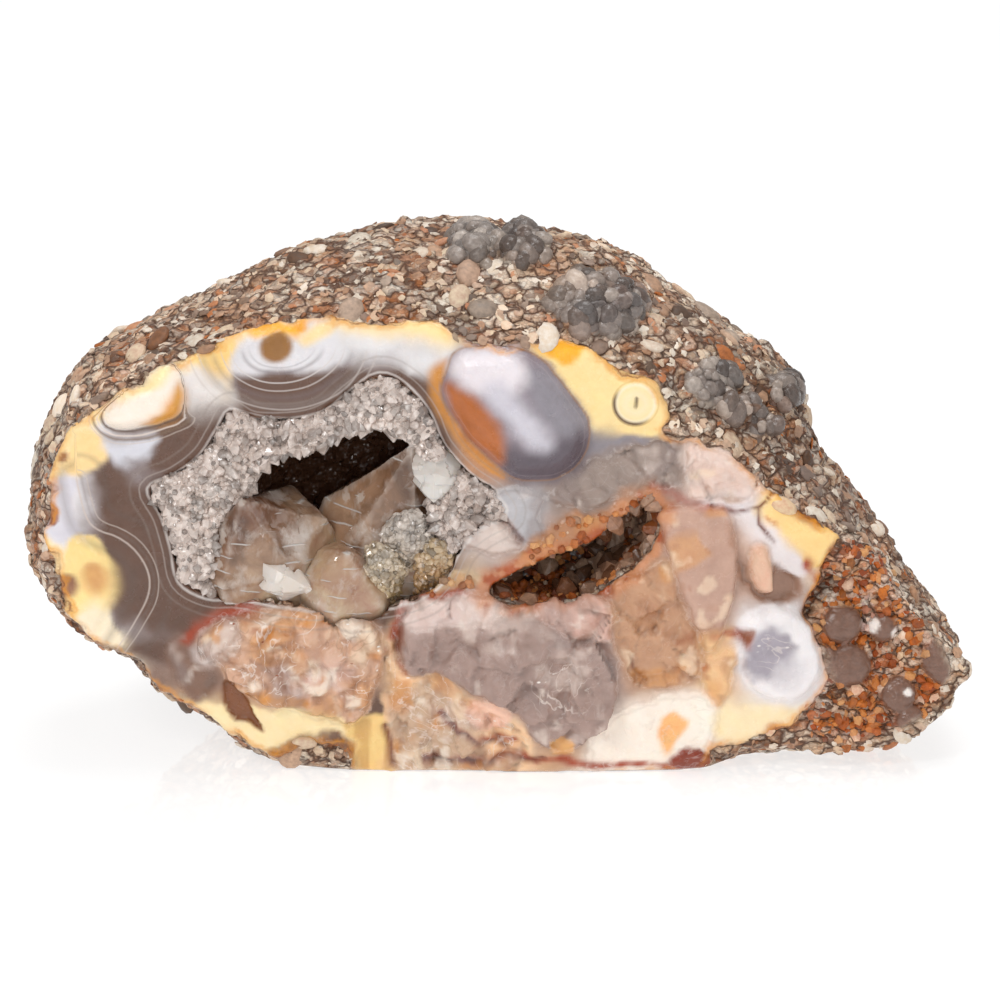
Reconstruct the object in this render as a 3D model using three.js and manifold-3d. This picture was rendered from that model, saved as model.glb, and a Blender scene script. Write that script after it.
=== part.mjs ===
// Half of an agate geode, standing on its worn foot with the broken face towards -Y.
// The rough rind wraps round the back, the broken face shows the agate wall, and a deep hollow in the
// wall is lined with small quartz and holds larger smoky and clear quartz crystals.
// Millimetres, +Z up. Outlines are drawn on the broken face: u runs right along +X, v runs up along +Z.
import * as THREE from "three";
import { mergeVertices } from "three/addons/utils/BufferGeometryUtils.js";
import Module from "manifold-3d";

const wasm = await Module();
wasm.setup();
const { Manifold, Mesh } = wasm;

// ---- Driving dimensions -----------------------------------------------------------------------

const GIRTH_DEPTH = 13; // behind the face, where the stone is widest
const STONE_DEPTH = 38; // face to the back of the rind
const BACK_POLE = { u: -4, v: 25 }; // where the rind closes at the back
const FACE_CENTRE = { u: -3, v: 23 };
const BACK_FULLNESS = 2.3; // 2 is an ellipse, more is squarer
const RIND_LUMP = 0.5; // height of the broad lumps on the rind
const FIT_GAP = 0.4; // between pieces that touch
const FACE_RINGS = 9;
const SIDE_RINGS = 4;
const BACK_RINGS = 9;
const STEPS_PER_POINT = 2; // segments between two outline points

// Each row is one direction round the stone: the edge of the face, then the girth behind it.
const EDGE_AND_GIRTH = [
  [-46.0, 22.4, -48.0, 19.5],
  [-45.8, 26.9, -47.9, 25.2],
  [-44.8, 31.8, -46.8, 31.0],
  [-43.0, 35.9, -45.0, 34.8],
  [-40.0, 39.4, -42.0, 40.0],
  [-35.5, 42.0, -37.5, 42.7],
  [-31.0, 44.3, -32.0, 45.1],
  [-26.5, 45.8, -27.0, 47.2],
  [-21.0, 47.2, -20.5, 50.5],
  [-16.0, 47.4, -15.3, 52.0],
  [-11.0, 46.9, -10.2, 53.0],
  [-5.5, 45.8, -4.6, 53.2],
  [0.0, 45.0, 1.0, 53.1],
  [4.5, 44.8, 6.0, 52.9],
  [9.0, 43.8, 11.5, 50.8],
  [13.0, 42.0, 16.5, 47.2],
  [16.0, 39.1, 21.8, 44.4],
  [18.5, 35.7, 26.9, 40.6],
  [22.0, 33.3, 30.2, 36.8],
  [26.0, 29.7, 32.0, 31.2],
  [30.0, 27.1, 35.0, 27.2],
  [35.0, 23.4, 38.0, 23.2],
  [40.5, 18.0, 42.0, 17.3],
  [44.8, 12.8, 45.4, 12.2],
  [47.7, 10.4, 47.0, 9.6],
  [46.2, 7.0, 44.8, 6.0],
  [43.0, 3.8, 41.4, 2.8],
  [37.0, 2.0, 36.0, 0.4],
  [30.0, 2.0, 30.0, -0.9],
  [24.5, 2.7, 25.0, -2.2],
  [21.0, 0.6, 21.0, -3.8],
  [14.0, 0.2, 14.0, -5.0],
  [6.0, 0.5, 6.0, -5.5],
  [0.0, 0.4, 0.0, -5.5],
  [-6.0, 0.2, -6.0, -5.5],
  [-11.0, 0.0, -11.0, -5.0],
  [-15.0, 0.3, -15.0, -4.0],
  [-20.0, 1.0, -20.0, -2.8],
  [-23.8, 2.1, -24.0, -1.5],
  [-27.5, 4.4, -28.0, 0.8],
  [-30.0, 6.6, -31.0, 3.4],
  [-34.5, 8.6, -35.5, 6.2],
  [-35.8, 11.8, -38.0, 9.5],
  [-39.5, 12.8, -41.5, 10.8],
  [-42.5, 15.6, -45.0, 13.2],
  [-45.0, 18.4, -47.0, 16.1],
];

// Broad swells (towards the viewer, positive) and dips of the broken face.
const FACE_SWELLS = [
  { u: 1.2, v: 37.5, reach: 7.0, height: 2.2 }, // the large oval agate eye
  { u: 13.5, v: 38.8, reach: 2.6, height: 0.9 }, // the small ringed eye
  { u: -35.0, v: 39.5, reach: 4.0, height: 1.2 }, // the cream nodule at the upper left
  { u: -22.0, v: 43.5, reach: 5.5, height: 0.9 }, // the banded half round at the top
  { u: -41.0, v: 21.0, reach: 4.5, height: 0.8 }, // the cream lobe at the far left
  { u: -20.0, v: 11.0, reach: 8.5, height: 1.8 }, // the knobbly mass below the hollow
  { u: 5.0, v: 11.0, reach: 11.0, height: 2.4 }, // the clear grey chalcedony
  { u: 20.0, v: 21.0, reach: 6.0, height: 2.0 }, // the pink plates
  { u: 28.0, v: 12.0, reach: 5.0, height: 1.4 }, // the blue white lobe
  { u: 12.0, v: 32.0, reach: 5.0, height: -1.4 },
  { u: 36.0, v: 17.0, reach: 6.5, height: -2.6 }, // the rusty tail falls back
  { u: 46.0, v: 10.0, reach: 5.0, height: -3.0 },
];

// The hollow in the agate wall, its quartz lining's own hollow, and the rusty slot.
const HOLLOW = {
  centre: { u: -17, v: 27.5 },
  depth: 20,
  fullness: 3.2,
  outline: [
    [-35.0, 29.7], [-32.5, 31.0], [-29.7, 33.1], [-28.0, 35.7], [-26.8, 37.8], [-24.5, 36.8],
    [-20.0, 36.8], [-17.0, 37.8], [-15.0, 39.5], [-12.0, 41.4], [-9.5, 40.3], [-7.2, 37.6],
    [-5.8, 34.4], [-3.2, 31.4], [-0.4, 29.4], [0.5, 27.4], [-2.0, 25.6], [-4.2, 23.6],
    [-6.0, 20.3], [-9.0, 18.2], [-14.0, 17.2], [-20.0, 17.7], [-26.0, 18.5], [-29.5, 18.8],
    [-32.0, 20.3], [-32.8, 23.6], [-33.7, 26.8],
  ],
};
const LINING_HOLLOW = {
  centre: { u: -17, v: 27.5 },
  depth: 16.5,
  fullness: 3.6,
  outline: [
    [-25.6, 29.5], [-25.2, 31.2], [-23.8, 33.2], [-20.0, 34.2], [-17.5, 35.2], [-15.4, 36.2],
    [-12.8, 36.4], [-10.2, 36.0], [-8.2, 34.6], [-7.6, 31.8], [-6.6, 28.6], [-6.2, 24.6],
    [-8.2, 21.2], [-13.0, 19.4], [-20.0, 19.8], [-26.0, 20.8], [-28.6, 24.2], [-27.6, 27.4],
  ],
};
const RUSTY_SLOT = {
  centre: { u: 8.3, v: 21.7 },
  depth: 7.5,
  fullness: 2.6,
  outline: [
    [-1.5, 19.3], [1.0, 20.8], [3.0, 21.9], [5.5, 23.2], [9.0, 24.4], [11.0, 25.6],
    [13.6, 27.8], [15.5, 28.8], [16.2, 27.4], [15.5, 24.5], [14.2, 22.4], [11.5, 20.6],
    [9.5, 19.0], [6.0, 17.9], [2.0, 17.9],
  ],
};

// Quartz crystals: u, v across the face and y into the stone, at the root and at the tip.
// thick is across the flats, flat squeezes the section one way, roll turns it, point is the tip's length.
const CRYSTALS = [
  { name: "smoky_crystal_left", root: [-21.8, 11.0, 13.5], tip: [-25.8, -1.0, 28.9], thick: 12.5, flat: 0.8, roll: 12, point: 6.5 },
  { name: "smoky_crystal_right", root: [-13.6, 11.5, 14.0], tip: [-8.8, 0.8, 34.0], thick: 11.2, flat: 0.75, roll: 40, point: 10.5 },
  { name: "smoky_crystal_side", root: [-4.5, 9.0, 19.5], tip: [-2.4, 0.4, 28.4], thick: 7.2, flat: 0.8, roll: 25, point: 3.5 },
  { name: "smoky_crystal_low", root: [-17.0, 9.0, 12.5], tip: [-15.2, -1.8, 23.6], thick: 9.0, flat: 0.85, roll: 5, point: 5.0 },
  { name: "clear_crystal_sill", root: [-29.2, 5.0, 22.8], tip: [-19.0, -1.8, 19.8], thick: 4.8, flat: 0.8, roll: 20, point: 2.8 },
  { name: "clear_crystal_tall", root: [-10.5, 7.0, 18.0], tip: [-8.5, -1.2, 27.6], thick: 4.6, flat: 0.85, roll: 10, point: 3.2 },
  { name: "clear_crystal_short", root: [-12.6, 5.5, 17.0], tip: [-11.6, -1.6, 23.8], thick: 3.6, flat: 0.9, roll: 33, point: 2.4 },
  { name: "clear_crystal_squat", root: [-7.4, 6.0, 17.5], tip: [-6.4, -1.0, 24.6], thick: 3.6, flat: 0.9, roll: 50, point: 2.2 },
  { name: "roof_crystal_wide", root: [-5.6, 4.5, 35.4], tip: [-6.6, -0.8, 28.6], thick: 4.4, flat: 0.8, roll: 15, point: 2.2 },
  { name: "roof_crystal_narrow", root: [-1.4, 4.0, 32.4], tip: [-0.9, 0.4, 27.6], thick: 2.8, flat: 0.85, roll: 0, point: 2.0 },
];

// ---- Shape helpers ----------------------------------------------------------------------------

// A smooth closed line through the points, with the same number of steps between each pair.
function smoothLoop(points) {
  const curve = new THREE.CatmullRomCurve3(
    points.map(([u, v]) => new THREE.Vector3(u, 0, v)),
    true,
    "centripetal",
  );
  const steps = points.length * STEPS_PER_POINT;
  return Array.from({ length: steps }, (_, i) => curve.getPoint(i / steps));
}

// Height of the broken face at a place: y is negative towards the viewer.
function faceRelief(u, v) {
  const swell = FACE_SWELLS.reduce((sum, s) => {
    const away = ((u - s.u) ** 2 + (v - s.v) ** 2) / s.reach ** 2;
    return sum + s.height * Math.exp(-away);
  }, 0);
  return -swell;
}

// Broad lumps of the rind, a smooth pattern with no direction.
function rindLump(p) {
  const wave = (a, b, c, phase) => Math.sin(a * p.x + b * p.y + c * p.z + phase);
  return (RIND_LUMP * (wave(0.31, 0.22, -0.17, 1) + wave(-0.19, 0.27, 0.33, 2.4) + wave(0.11, -0.4, 0.24, 4))) / 1.5;
}

// A closed skin through rings of points, each end closed to a pole.
function closedSkin(rings, firstPole, lastPole) {
  const count = rings[0].length;
  const points = [firstPole, ...rings.flat(), lastPole];
  const index = [];
  const at = (ring, i) => 1 + ring * count + (i % count);
  for (let i = 0; i < count; i++) index.push(0, at(0, i + 1), at(0, i));
  for (let ring = 0; ring < rings.length - 1; ring++) {
    for (let i = 0; i < count; i++) {
      index.push(at(ring, i), at(ring, i + 1), at(ring + 1, i));
      index.push(at(ring, i + 1), at(ring + 1, i + 1), at(ring + 1, i));
    }
  }
  const last = rings.length - 1;
  for (let i = 0; i < count; i++) index.push(at(last, i), at(last, i + 1), points.length - 1);
  const geometry = new THREE.BufferGeometry().setFromPoints(points);
  geometry.setIndex(index);
  return geometry;
}

// A three.js geometry as a solid that can be cut and joined.
function solidOf(geometry) {
  const bare = geometry.clone();
  bare.deleteAttribute("normal");
  bare.deleteAttribute("uv");
  const merged = mergeVertices(bare, 1e-4);
  const made = new Manifold(
    new Mesh({
      numProp: 3,
      vertProperties: new Float32Array(merged.attributes.position.array),
      triVerts: new Uint32Array(merged.index.array),
    }),
  );
  if (made.volume() > 0) return made;
  const turned = new Uint32Array(merged.index.array);
  for (let i = 0; i < turned.length; i += 3) [turned[i + 1], turned[i + 2]] = [turned[i + 2], turned[i + 1]];
  return new Manifold(
    new Mesh({ numProp: 3, vertProperties: new Float32Array(merged.attributes.position.array), triVerts: turned }),
  );
}

function geometryOf(solid) {
  const { numProp, numVert, vertProperties, triVerts } = solid.getMesh();
  const places = new Float32Array(numVert * 3);
  for (let i = 0; i < numVert; i++) places.set(vertProperties.subarray(i * numProp, i * numProp + 3), i * 3);
  const geometry = new THREE.BufferGeometry();
  geometry.setAttribute("position", new THREE.BufferAttribute(places, 3));
  geometry.setIndex(new THREE.BufferAttribute(triVerts, 1));
  geometry.computeVertexNormals();
  return geometry;
}

// A cut can leave loose crumbs: only the main body stays.
function mainBody(solid) {
  return solid.decompose().reduce((a, b) => (a.volume() > b.volume() ? a : b));
}

// ---- The stone's outer form -------------------------------------------------------------------

function stoneForm() {
  const edge = smoothLoop(EDGE_AND_GIRTH.map(([u, v]) => [u, v]));
  const girth = smoothLoop(EDGE_AND_GIRTH.map((row) => [row[2], row[3]]));
  const rings = [];
  for (let k = 1; k <= FACE_RINGS; k++) {
    const share = k / FACE_RINGS;
    rings.push(
      edge.map((p) => {
        const u = THREE.MathUtils.lerp(FACE_CENTRE.u, p.x, share);
        const v = THREE.MathUtils.lerp(FACE_CENTRE.v, p.z, share);
        return new THREE.Vector3(u, faceRelief(u, v), v);
      }),
    );
  }
  const rim = rings[rings.length - 1];
  const lumped = (p, centre, share) => {
    const out = new THREE.Vector3(p.x - centre.u, 0, p.z - centre.v).normalize();
    return p.addScaledVector(out, rindLump(p) * share);
  };
  for (let k = 1; k <= SIDE_RINGS; k++) {
    const share = k / SIDE_RINGS;
    const spread = Math.sin((share * Math.PI) / 2);
    rings.push(
      girth.map((g, i) => {
        const p = new THREE.Vector3().lerpVectors(rim[i], g, spread);
        p.y = THREE.MathUtils.lerp(rim[i].y, GIRTH_DEPTH, share);
        return lumped(p, FACE_CENTRE, share);
      }),
    );
  }
  for (let k = 1; k < BACK_RINGS; k++) {
    const turn = ((k / BACK_RINGS) * Math.PI) / 2;
    const along = Math.sin(turn) ** (2 / BACK_FULLNESS);
    const wide = Math.cos(turn) ** (2 / BACK_FULLNESS);
    rings.push(
      girth.map((g) => {
        const u = THREE.MathUtils.lerp(BACK_POLE.u, g.x, wide);
        const v = THREE.MathUtils.lerp(BACK_POLE.v, g.z, wide);
        const y = THREE.MathUtils.lerp(GIRTH_DEPTH, STONE_DEPTH, along);
        return lumped(new THREE.Vector3(u, y, v), BACK_POLE, 1);
      }),
    );
  }
  const front = new THREE.Vector3(FACE_CENTRE.u, faceRelief(FACE_CENTRE.u, FACE_CENTRE.v), FACE_CENTRE.v);
  return solidOf(closedSkin(rings, front, new THREE.Vector3(BACK_POLE.u, STONE_DEPTH, BACK_POLE.v)));
}

// A hollow with the drawn mouth, narrowing into a rounded end; shrink draws every wall in.
const MOUTH_AHEAD = 8; // how far the cutter stands out in front of the face
const HOLLOW_RINGS = 7;
function hollowForm({ centre, depth, fullness, outline }, shrink = 0) {
  const mouth = smoothLoop(outline).map((p) => {
    const out = new THREE.Vector3(p.x - centre.u, 0, p.z - centre.v);
    return out.setLength(out.length() - shrink);
  });
  const ring = (wide, y) => mouth.map((out) => new THREE.Vector3(centre.u + out.x * wide, y, centre.v + out.z * wide));
  const rings = [ring(1, -MOUTH_AHEAD), ring(1, 0)];
  for (let k = 1; k < HOLLOW_RINGS; k++) {
    const turn = ((k / HOLLOW_RINGS) * Math.PI) / 2;
    const wide = Math.cos(turn) ** (2 / fullness);
    const along = Math.sin(turn) ** (2 / fullness);
    rings.push(ring(wide, (depth - shrink) * along));
  }
  const outer = new THREE.Vector3(centre.u, -MOUTH_AHEAD, centre.v);
  const inner = new THREE.Vector3(centre.u, depth - shrink, centre.v);
  return solidOf(closedSkin(rings, outer, inner));
}

// A six-sided prism with a pyramid tip; grow makes the socket that it stands in.
function crystalForm({ root, tip, thick, flat, roll, point }, grow = 0) {
  const from = new THREE.Vector3(...root);
  const way = new THREE.Vector3(...tip).sub(from);
  const length = way.length();
  const radius = thick / Math.sqrt(3);
  const profile = [
    [0, -grow],
    [radius + grow, -grow],
    [radius + grow, length - point],
    [0, length + grow],
  ].map(([r, h]) => new THREE.Vector2(r, h));
  const geometry = new THREE.LatheGeometry(profile, 6);
  geometry.rotateY(THREE.MathUtils.degToRad(roll));
  geometry.scale(1, 1, flat + grow / radius);
  const turn = new THREE.Quaternion().setFromUnitVectors(new THREE.Vector3(0, 1, 0), way.normalize());
  geometry.applyQuaternion(turn);
  geometry.translate(from.x, from.y, from.z);
  return solidOf(geometry);
}

// ---- The pieces -------------------------------------------------------------------------------

const groundCutter = solidOf(new THREE.BoxGeometry(200, 200, 40).translate(0, 0, -20));
const form = stoneForm().subtract(groundCutter);
const sockets = CRYSTALS.map((c) => crystalForm(c, FIT_GAP));
const allSockets = sockets.reduce((a, b) => a.add(b));

const stone = mainBody(
  form.subtract(hollowForm(HOLLOW)).subtract(hollowForm(RUSTY_SLOT)).subtract(allSockets),
);
const lining = mainBody(
  form.intersect(hollowForm(HOLLOW, FIT_GAP)).subtract(hollowForm(LINING_HOLLOW)).subtract(allSockets),
);
// A crystal gives way to the ones listed before it, as a later crystal grows round an earlier one.
const crystals = CRYSTALS.map((c, i) =>
  mainBody(sockets.slice(0, i).reduce((left, socket) => left.subtract(socket), crystalForm(c))),
);

const agate = new THREE.MeshStandardMaterial({ color: 0x9a8578, roughness: 0.45, metalness: 0 });
const druse = new THREE.MeshStandardMaterial({ color: 0xc9c2bd, roughness: 0.2, metalness: 0 });
const smoky = new THREE.MeshStandardMaterial({ color: 0x9c7f6e, roughness: 0.12, metalness: 0 });
const clear = new THREE.MeshStandardMaterial({ color: 0xdedad6, roughness: 0.1, metalness: 0 });

const geode = new THREE.Group();
function addPiece(name, solid, material) {
  const mesh = new THREE.Mesh(geometryOf(solid), material);
  mesh.name = name;
  geode.add(mesh);
}
addPiece("stone", stone, agate);
addPiece("quartz_lining", lining, druse);
CRYSTALS.forEach((c, i) => addPiece(c.name, crystals[i], c.name.startsWith("smoky") ? smoky : clear));

// The origin is the middle of the bounding box, on the surface that the stone stands on.
const box = new THREE.Box3().setFromObject(geode);
const middle = box.getCenter(new THREE.Vector3());
geode.position.set(-middle.x, -middle.y, -box.min.z);

export default geode;
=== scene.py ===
# %% [markdown]
# # Half of an agate geode, broken face to the front
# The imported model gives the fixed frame: one stone, the quartz lining of its hollow and ten larger
# quartz crystals. Each of them is replaced here by a piece of the same size with its real surface.
# Lengths are drawn in millimetres on the broken face: u runs right, y into the stone and v up.

# %% The fixed frame
import math
import bmesh
import bpy
import numpy as np
from mathutils import Matrix, Vector


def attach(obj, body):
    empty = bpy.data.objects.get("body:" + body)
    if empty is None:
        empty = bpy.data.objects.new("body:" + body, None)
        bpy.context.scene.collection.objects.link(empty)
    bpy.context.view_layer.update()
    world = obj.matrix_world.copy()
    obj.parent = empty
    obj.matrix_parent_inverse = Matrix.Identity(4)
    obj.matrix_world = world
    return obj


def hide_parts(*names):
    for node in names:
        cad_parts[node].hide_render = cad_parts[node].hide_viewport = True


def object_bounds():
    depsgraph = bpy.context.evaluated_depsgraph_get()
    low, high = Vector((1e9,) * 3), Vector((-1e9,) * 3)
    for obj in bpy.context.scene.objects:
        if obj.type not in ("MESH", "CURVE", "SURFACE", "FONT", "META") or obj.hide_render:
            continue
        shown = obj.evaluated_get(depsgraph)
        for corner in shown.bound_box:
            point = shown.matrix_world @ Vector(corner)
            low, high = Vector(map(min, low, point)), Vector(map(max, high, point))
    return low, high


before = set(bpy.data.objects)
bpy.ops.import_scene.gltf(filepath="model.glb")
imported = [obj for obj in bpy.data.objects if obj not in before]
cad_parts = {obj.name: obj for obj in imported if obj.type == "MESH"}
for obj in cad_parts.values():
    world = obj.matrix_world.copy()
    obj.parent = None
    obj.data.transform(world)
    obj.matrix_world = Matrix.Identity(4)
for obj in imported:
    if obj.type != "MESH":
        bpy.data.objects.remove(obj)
cad_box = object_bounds()
MM = 0.001
LEFT_END_U = -48.07
FRONT_END_Y = -2.406
SHIFT = np.array([cad_box[0].x / MM - LEFT_END_U, cad_box[0].y / MM - FRONT_END_Y, 0.0])
print("frame pieces:", sorted(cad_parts), "shift in mm:", SHIFT.round(3))


def to_face(metres):
    """Row frame in metres to face millimetres (u, y, v)."""
    return np.asarray(metres) / MM - SHIFT


def to_metres(face_points):
    return (np.asarray(face_points) + SHIFT) * MM


# %% [markdown]
# ## Camera, floor and light
# A hand specimen is looked at from a little above, so the camera stands in front of the broken face
# and looks down by 16 degrees through a long lens. The floor is a pale polished sheet, which gives the
# faint mirror image under the stone. Four soft lamps and a white surround light it evenly.

# %% Camera
LOOK_DOWN = math.radians(16)
CAMERA_DISTANCE = 0.6
AIM = Vector((0.0002, -0.0178, 0.0286))
SENSOR_WIDTH = 36
LONG_LENS = 216


def put_in_scene(thing):
    bpy.context.scene.collection.objects.link(thing)
    return thing


towards_camera = Vector((0, -math.cos(LOOK_DOWN), math.sin(LOOK_DOWN)))
camera = put_in_scene(bpy.data.objects.new("camera", bpy.data.cameras.new("camera")))
camera.location = AIM + towards_camera * CAMERA_DISTANCE
camera.rotation_euler = towards_camera.to_track_quat("Z", "Y").to_euler()
camera.data.sensor_width = SENSOR_WIDTH
camera.data.lens = LONG_LENS
camera.data.clip_start = 0.01
bpy.context.scene.camera = camera
bpy.context.scene.view_settings.view_transform = "Standard"
print("camera looks down by", round(math.degrees(LOOK_DOWN)), "degrees")

# %% Node helpers


def wire(tree, kind, inputs=None, **settings):
    """Adds a node, sets its settings, and fills its inputs with values or links."""
    made = tree.nodes.new(kind)
    for key, value in settings.items():
        setattr(made, key, value)
    for key, value in (inputs or {}).items():
        socket = made.inputs[key]
        if isinstance(value, bpy.types.NodeSocket):
            tree.links.new(value, socket)
        else:
            socket.default_value = value
    return made


RICHNESS = 1.25


def linear(hex_code, alpha=True):
    """A colour written as six hex digits, as linear light, made a little richer."""
    parts = [int(hex_code[i:i + 2], 16) / 255 for i in (0, 2, 4)]
    light = [c / 12.92 if c <= 0.04045 else ((c + 0.055) / 1.055) ** 2.4 for c in parts]
    grey = 0.21 * light[0] + 0.72 * light[1] + 0.07 * light[2]
    light = [min(1.0, max(0.0, grey + RICHNESS * (c - grey))) for c in light]
    return tuple(light) + ((1.0,) if alpha else ())


def math_node(tree, operation, first, second=0.0, clamp=False):
    made = wire(tree, "ShaderNodeMath", {0: first, 1: second}, operation=operation, use_clamp=clamp)
    return made.outputs[0]


def mix_colour(tree, amount, first, second, blend="MIX"):
    made = wire(tree, "ShaderNodeMix", {0: amount, 6: first, 7: second}, data_type="RGBA", blend_type=blend)
    return made.outputs[2]


def ramp(tree, value, stops, interpolation="LINEAR"):
    """A colour ramp; each stop is (place, grey level or hex code)."""
    made = wire(tree, "ShaderNodeValToRGB", {0: value})
    made.color_ramp.interpolation = interpolation
    elements = made.color_ramp.elements
    for index, (place, shade) in enumerate(stops):
        element = elements[index] if index < 2 else elements.new(place)
        element.position = place
        element.color = linear(shade) if isinstance(shade, str) else (shade, shade, shade, 1)
    return made.outputs[0]


def attribute(tree, name, output="Fac"):
    return wire(tree, "ShaderNodeAttribute", attribute_name=name).outputs[output]


def object_noise(tree, size_mm, detail=4.0, roughness=0.55, distortion=0.0, stretch=None):
    place = wire(tree, "ShaderNodeTexCoord").outputs["Object"]
    if stretch:
        place = wire(tree, "ShaderNodeMapping", {0: place, 3: stretch}).outputs[0]
    inputs = {"Vector": place, "Scale": 1000 / size_mm, "Detail": detail, "Roughness": roughness,
              "Distortion": distortion}
    return wire(tree, "ShaderNodeTexNoise", inputs).outputs[0]


def new_material(name):
    material = bpy.data.materials.new(name)
    material.use_nodes = True
    tree = material.node_tree
    tree.nodes.clear()
    surface = wire(tree, "ShaderNodeBsdfPrincipled")
    wire(tree, "ShaderNodeOutputMaterial", {0: surface.outputs[0]})
    return material, tree, surface


def bump(tree, surface, height, distance_mm, strength=1.0):
    inputs = {"Height": height, "Distance": distance_mm * MM, "Strength": strength}
    made = wire(tree, "ShaderNodeBump", inputs)
    tree.links.new(made.outputs[0], surface.inputs["Normal"])


print("colours are made richer by a factor of", RICHNESS)

# %% Floor
FLOOR_GREY = 0.4
FLOOR_GLOW = 0.68
floor_material, tree, surface = new_material("polished_white_floor")
surface.inputs["Base Color"].default_value = (FLOOR_GREY, FLOOR_GREY, FLOOR_GREY, 1)
surface.inputs["Emission Color"].default_value = (1, 1, 1, 1)
surface.inputs["Emission Strength"].default_value = FLOOR_GLOW
surface.inputs["Specular IOR Level"].default_value = 1.0
tree.links.new(ramp(tree, object_noise(tree, 40), [(0, 0.03), (1, 0.08)]), surface.inputs["Roughness"])
FLOOR_HALF = 1.5
floor_mesh = bpy.data.meshes.new("floor")
corners = [(-1, -1, 0), (1, -1, 0), (1, 1, 0), (-1, 1, 0)]
floor_mesh.from_pydata([Vector(c) * FLOOR_HALF for c in corners], [], [(0, 1, 2, 3)])
floor_mesh.materials.append(floor_material)
floor = put_in_scene(bpy.data.objects.new("floor", floor_mesh))
print("floor:", 2 * FLOOR_HALF, "m square")

# %% Lamps and surround
LAMPS = [  # name, place in metres, size in metres, watts
    ("key_lamp", (-0.26, -0.40, 0.42), 0.16, 1.15),
    ("fill_lamp", (0.45, -0.40, 0.26), 0.34, 0.45),
    ("top_lamp", (0.05, 0.06, 0.60), 0.30, 1.5),
    ("front_lamp", (0.04, -0.70, 0.20), 0.10, 0.35),
]
for lamp_name, place, size, watts in LAMPS:
    lamp = put_in_scene(bpy.data.objects.new(lamp_name, bpy.data.lights.new(lamp_name, "AREA")))
    lamp.data.size = size
    lamp.data.energy = watts
    lamp.location = place
    lamp.rotation_euler = (Vector(place) - Vector((0, 0, 0.025))).to_track_quat("Z", "Y").to_euler()

SURROUND_LIGHT = 0.42
world = bpy.data.worlds.new("white_surround")
world.use_nodes = True
world.node_tree.nodes["Background"].inputs[0].default_value = (1, 1, 1, 1)
world.node_tree.nodes["Background"].inputs[1].default_value = SURROUND_LIGHT
bpy.context.scene.world = world
print("lamps:", [lamp[0] for lamp in LAMPS])

# %% [markdown]
# ## Natural patterns as plain arithmetic
# A stone's lumps, grains and stains are random but smooth. Two patterns make them all: a cloudy noise,
# and a field of grains in which every point knows its nearest grain centre. Both are hashed from the
# position, so they come out the same in every run.

# %% Noise and grains


def hashed(cells, salt):
    """A repeatable random number from 0 to 1 for each whole-number cell."""
    big = np.uint64(0xFFFFFFFF)
    x, y, z = (cells[..., i].astype(np.int64).astype(np.uint64) for i in range(3))
    h = (x * np.uint64(73856093)) ^ (y * np.uint64(19349663)) ^ (z * np.uint64(83492791))
    h = (h ^ np.uint64(salt * 7919 + 17)) & big
    for factor in (2246822519, 3266489917):
        h = ((h ^ (h >> np.uint64(15))) * np.uint64(factor)) & big
    return (h ^ (h >> np.uint64(16))).astype(float) / float(big)


def cloud(points, size, salt=0, octaves=4, gain=0.5):
    """Cloudy noise from -1 to 1 whose largest blobs are about size across."""
    total, weight, norm = 0.0, 1.0, 0.0
    for octave in range(octaves):
        p = np.asarray(points) / size * 2 ** octave + 31.7 * octave
        base = np.floor(p)
        f = p - base
        f = f * f * (3 - 2 * f)
        value = 0.0
        for corner in np.ndindex(2, 2, 2):
            step = np.array(corner)
            share = np.prod(np.where(step, f, 1 - f), axis=-1)
            value = value + share * hashed(base + step, salt + octave)
        total = total + weight * (value * 2 - 1)
        norm += weight
        weight *= gain
    return total / norm


def grains(points, size, salt=0):
    """Nearest grain: its distance, how much nearer it is than the next one, its number, and its centre."""
    p = np.asarray(points) / size
    base = np.floor(p)
    count = len(p)
    first = np.full(count, 9.0)
    second = np.full(count, 9.0)
    number = np.zeros(count)
    centre = np.zeros((count, 3))
    for step in np.ndindex(3, 3, 3):
        cell = base + np.array(step) - 1
        middle = cell + np.stack([hashed(cell, salt + k) for k in range(3)], axis=-1)
        away = np.linalg.norm(p - middle, axis=-1)
        nearer = away < first
        second = np.where(nearer, first, np.minimum(second, away))
        first = np.where(nearer, away, first)
        number = np.where(nearer, hashed(cell, salt + 9), number)
        centre = np.where(nearer[:, None], middle, centre)
    return first * size, (second - first) * size, number, centre * size


def smooth_step(low, high, value):
    t = np.clip((value - low) / (high - low), 0, 1)
    return t * t * (3 - 2 * t)


print("cloud at one place, the same in every run:", cloud(np.ones((1, 3)), 3.0).round(4))

# %% Outlines


def smooth_loop(points, steps=4):
    """A closed Catmull-Rom line through the points."""
    p = np.asarray(points, float)
    a, b, c, d = np.roll(p, 1, 0), p, np.roll(p, -1, 0), np.roll(p, -2, 0)
    out = []
    for t in np.arange(steps) / steps:
        out.append(0.5 * (2 * b + (c - a) * t + (2 * a - 5 * b + 4 * c - d) * t ** 2
                          + (3 * b - 3 * c + d - a) * t ** 3))
    return np.stack(out, axis=1).reshape(-1, 2)


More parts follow.
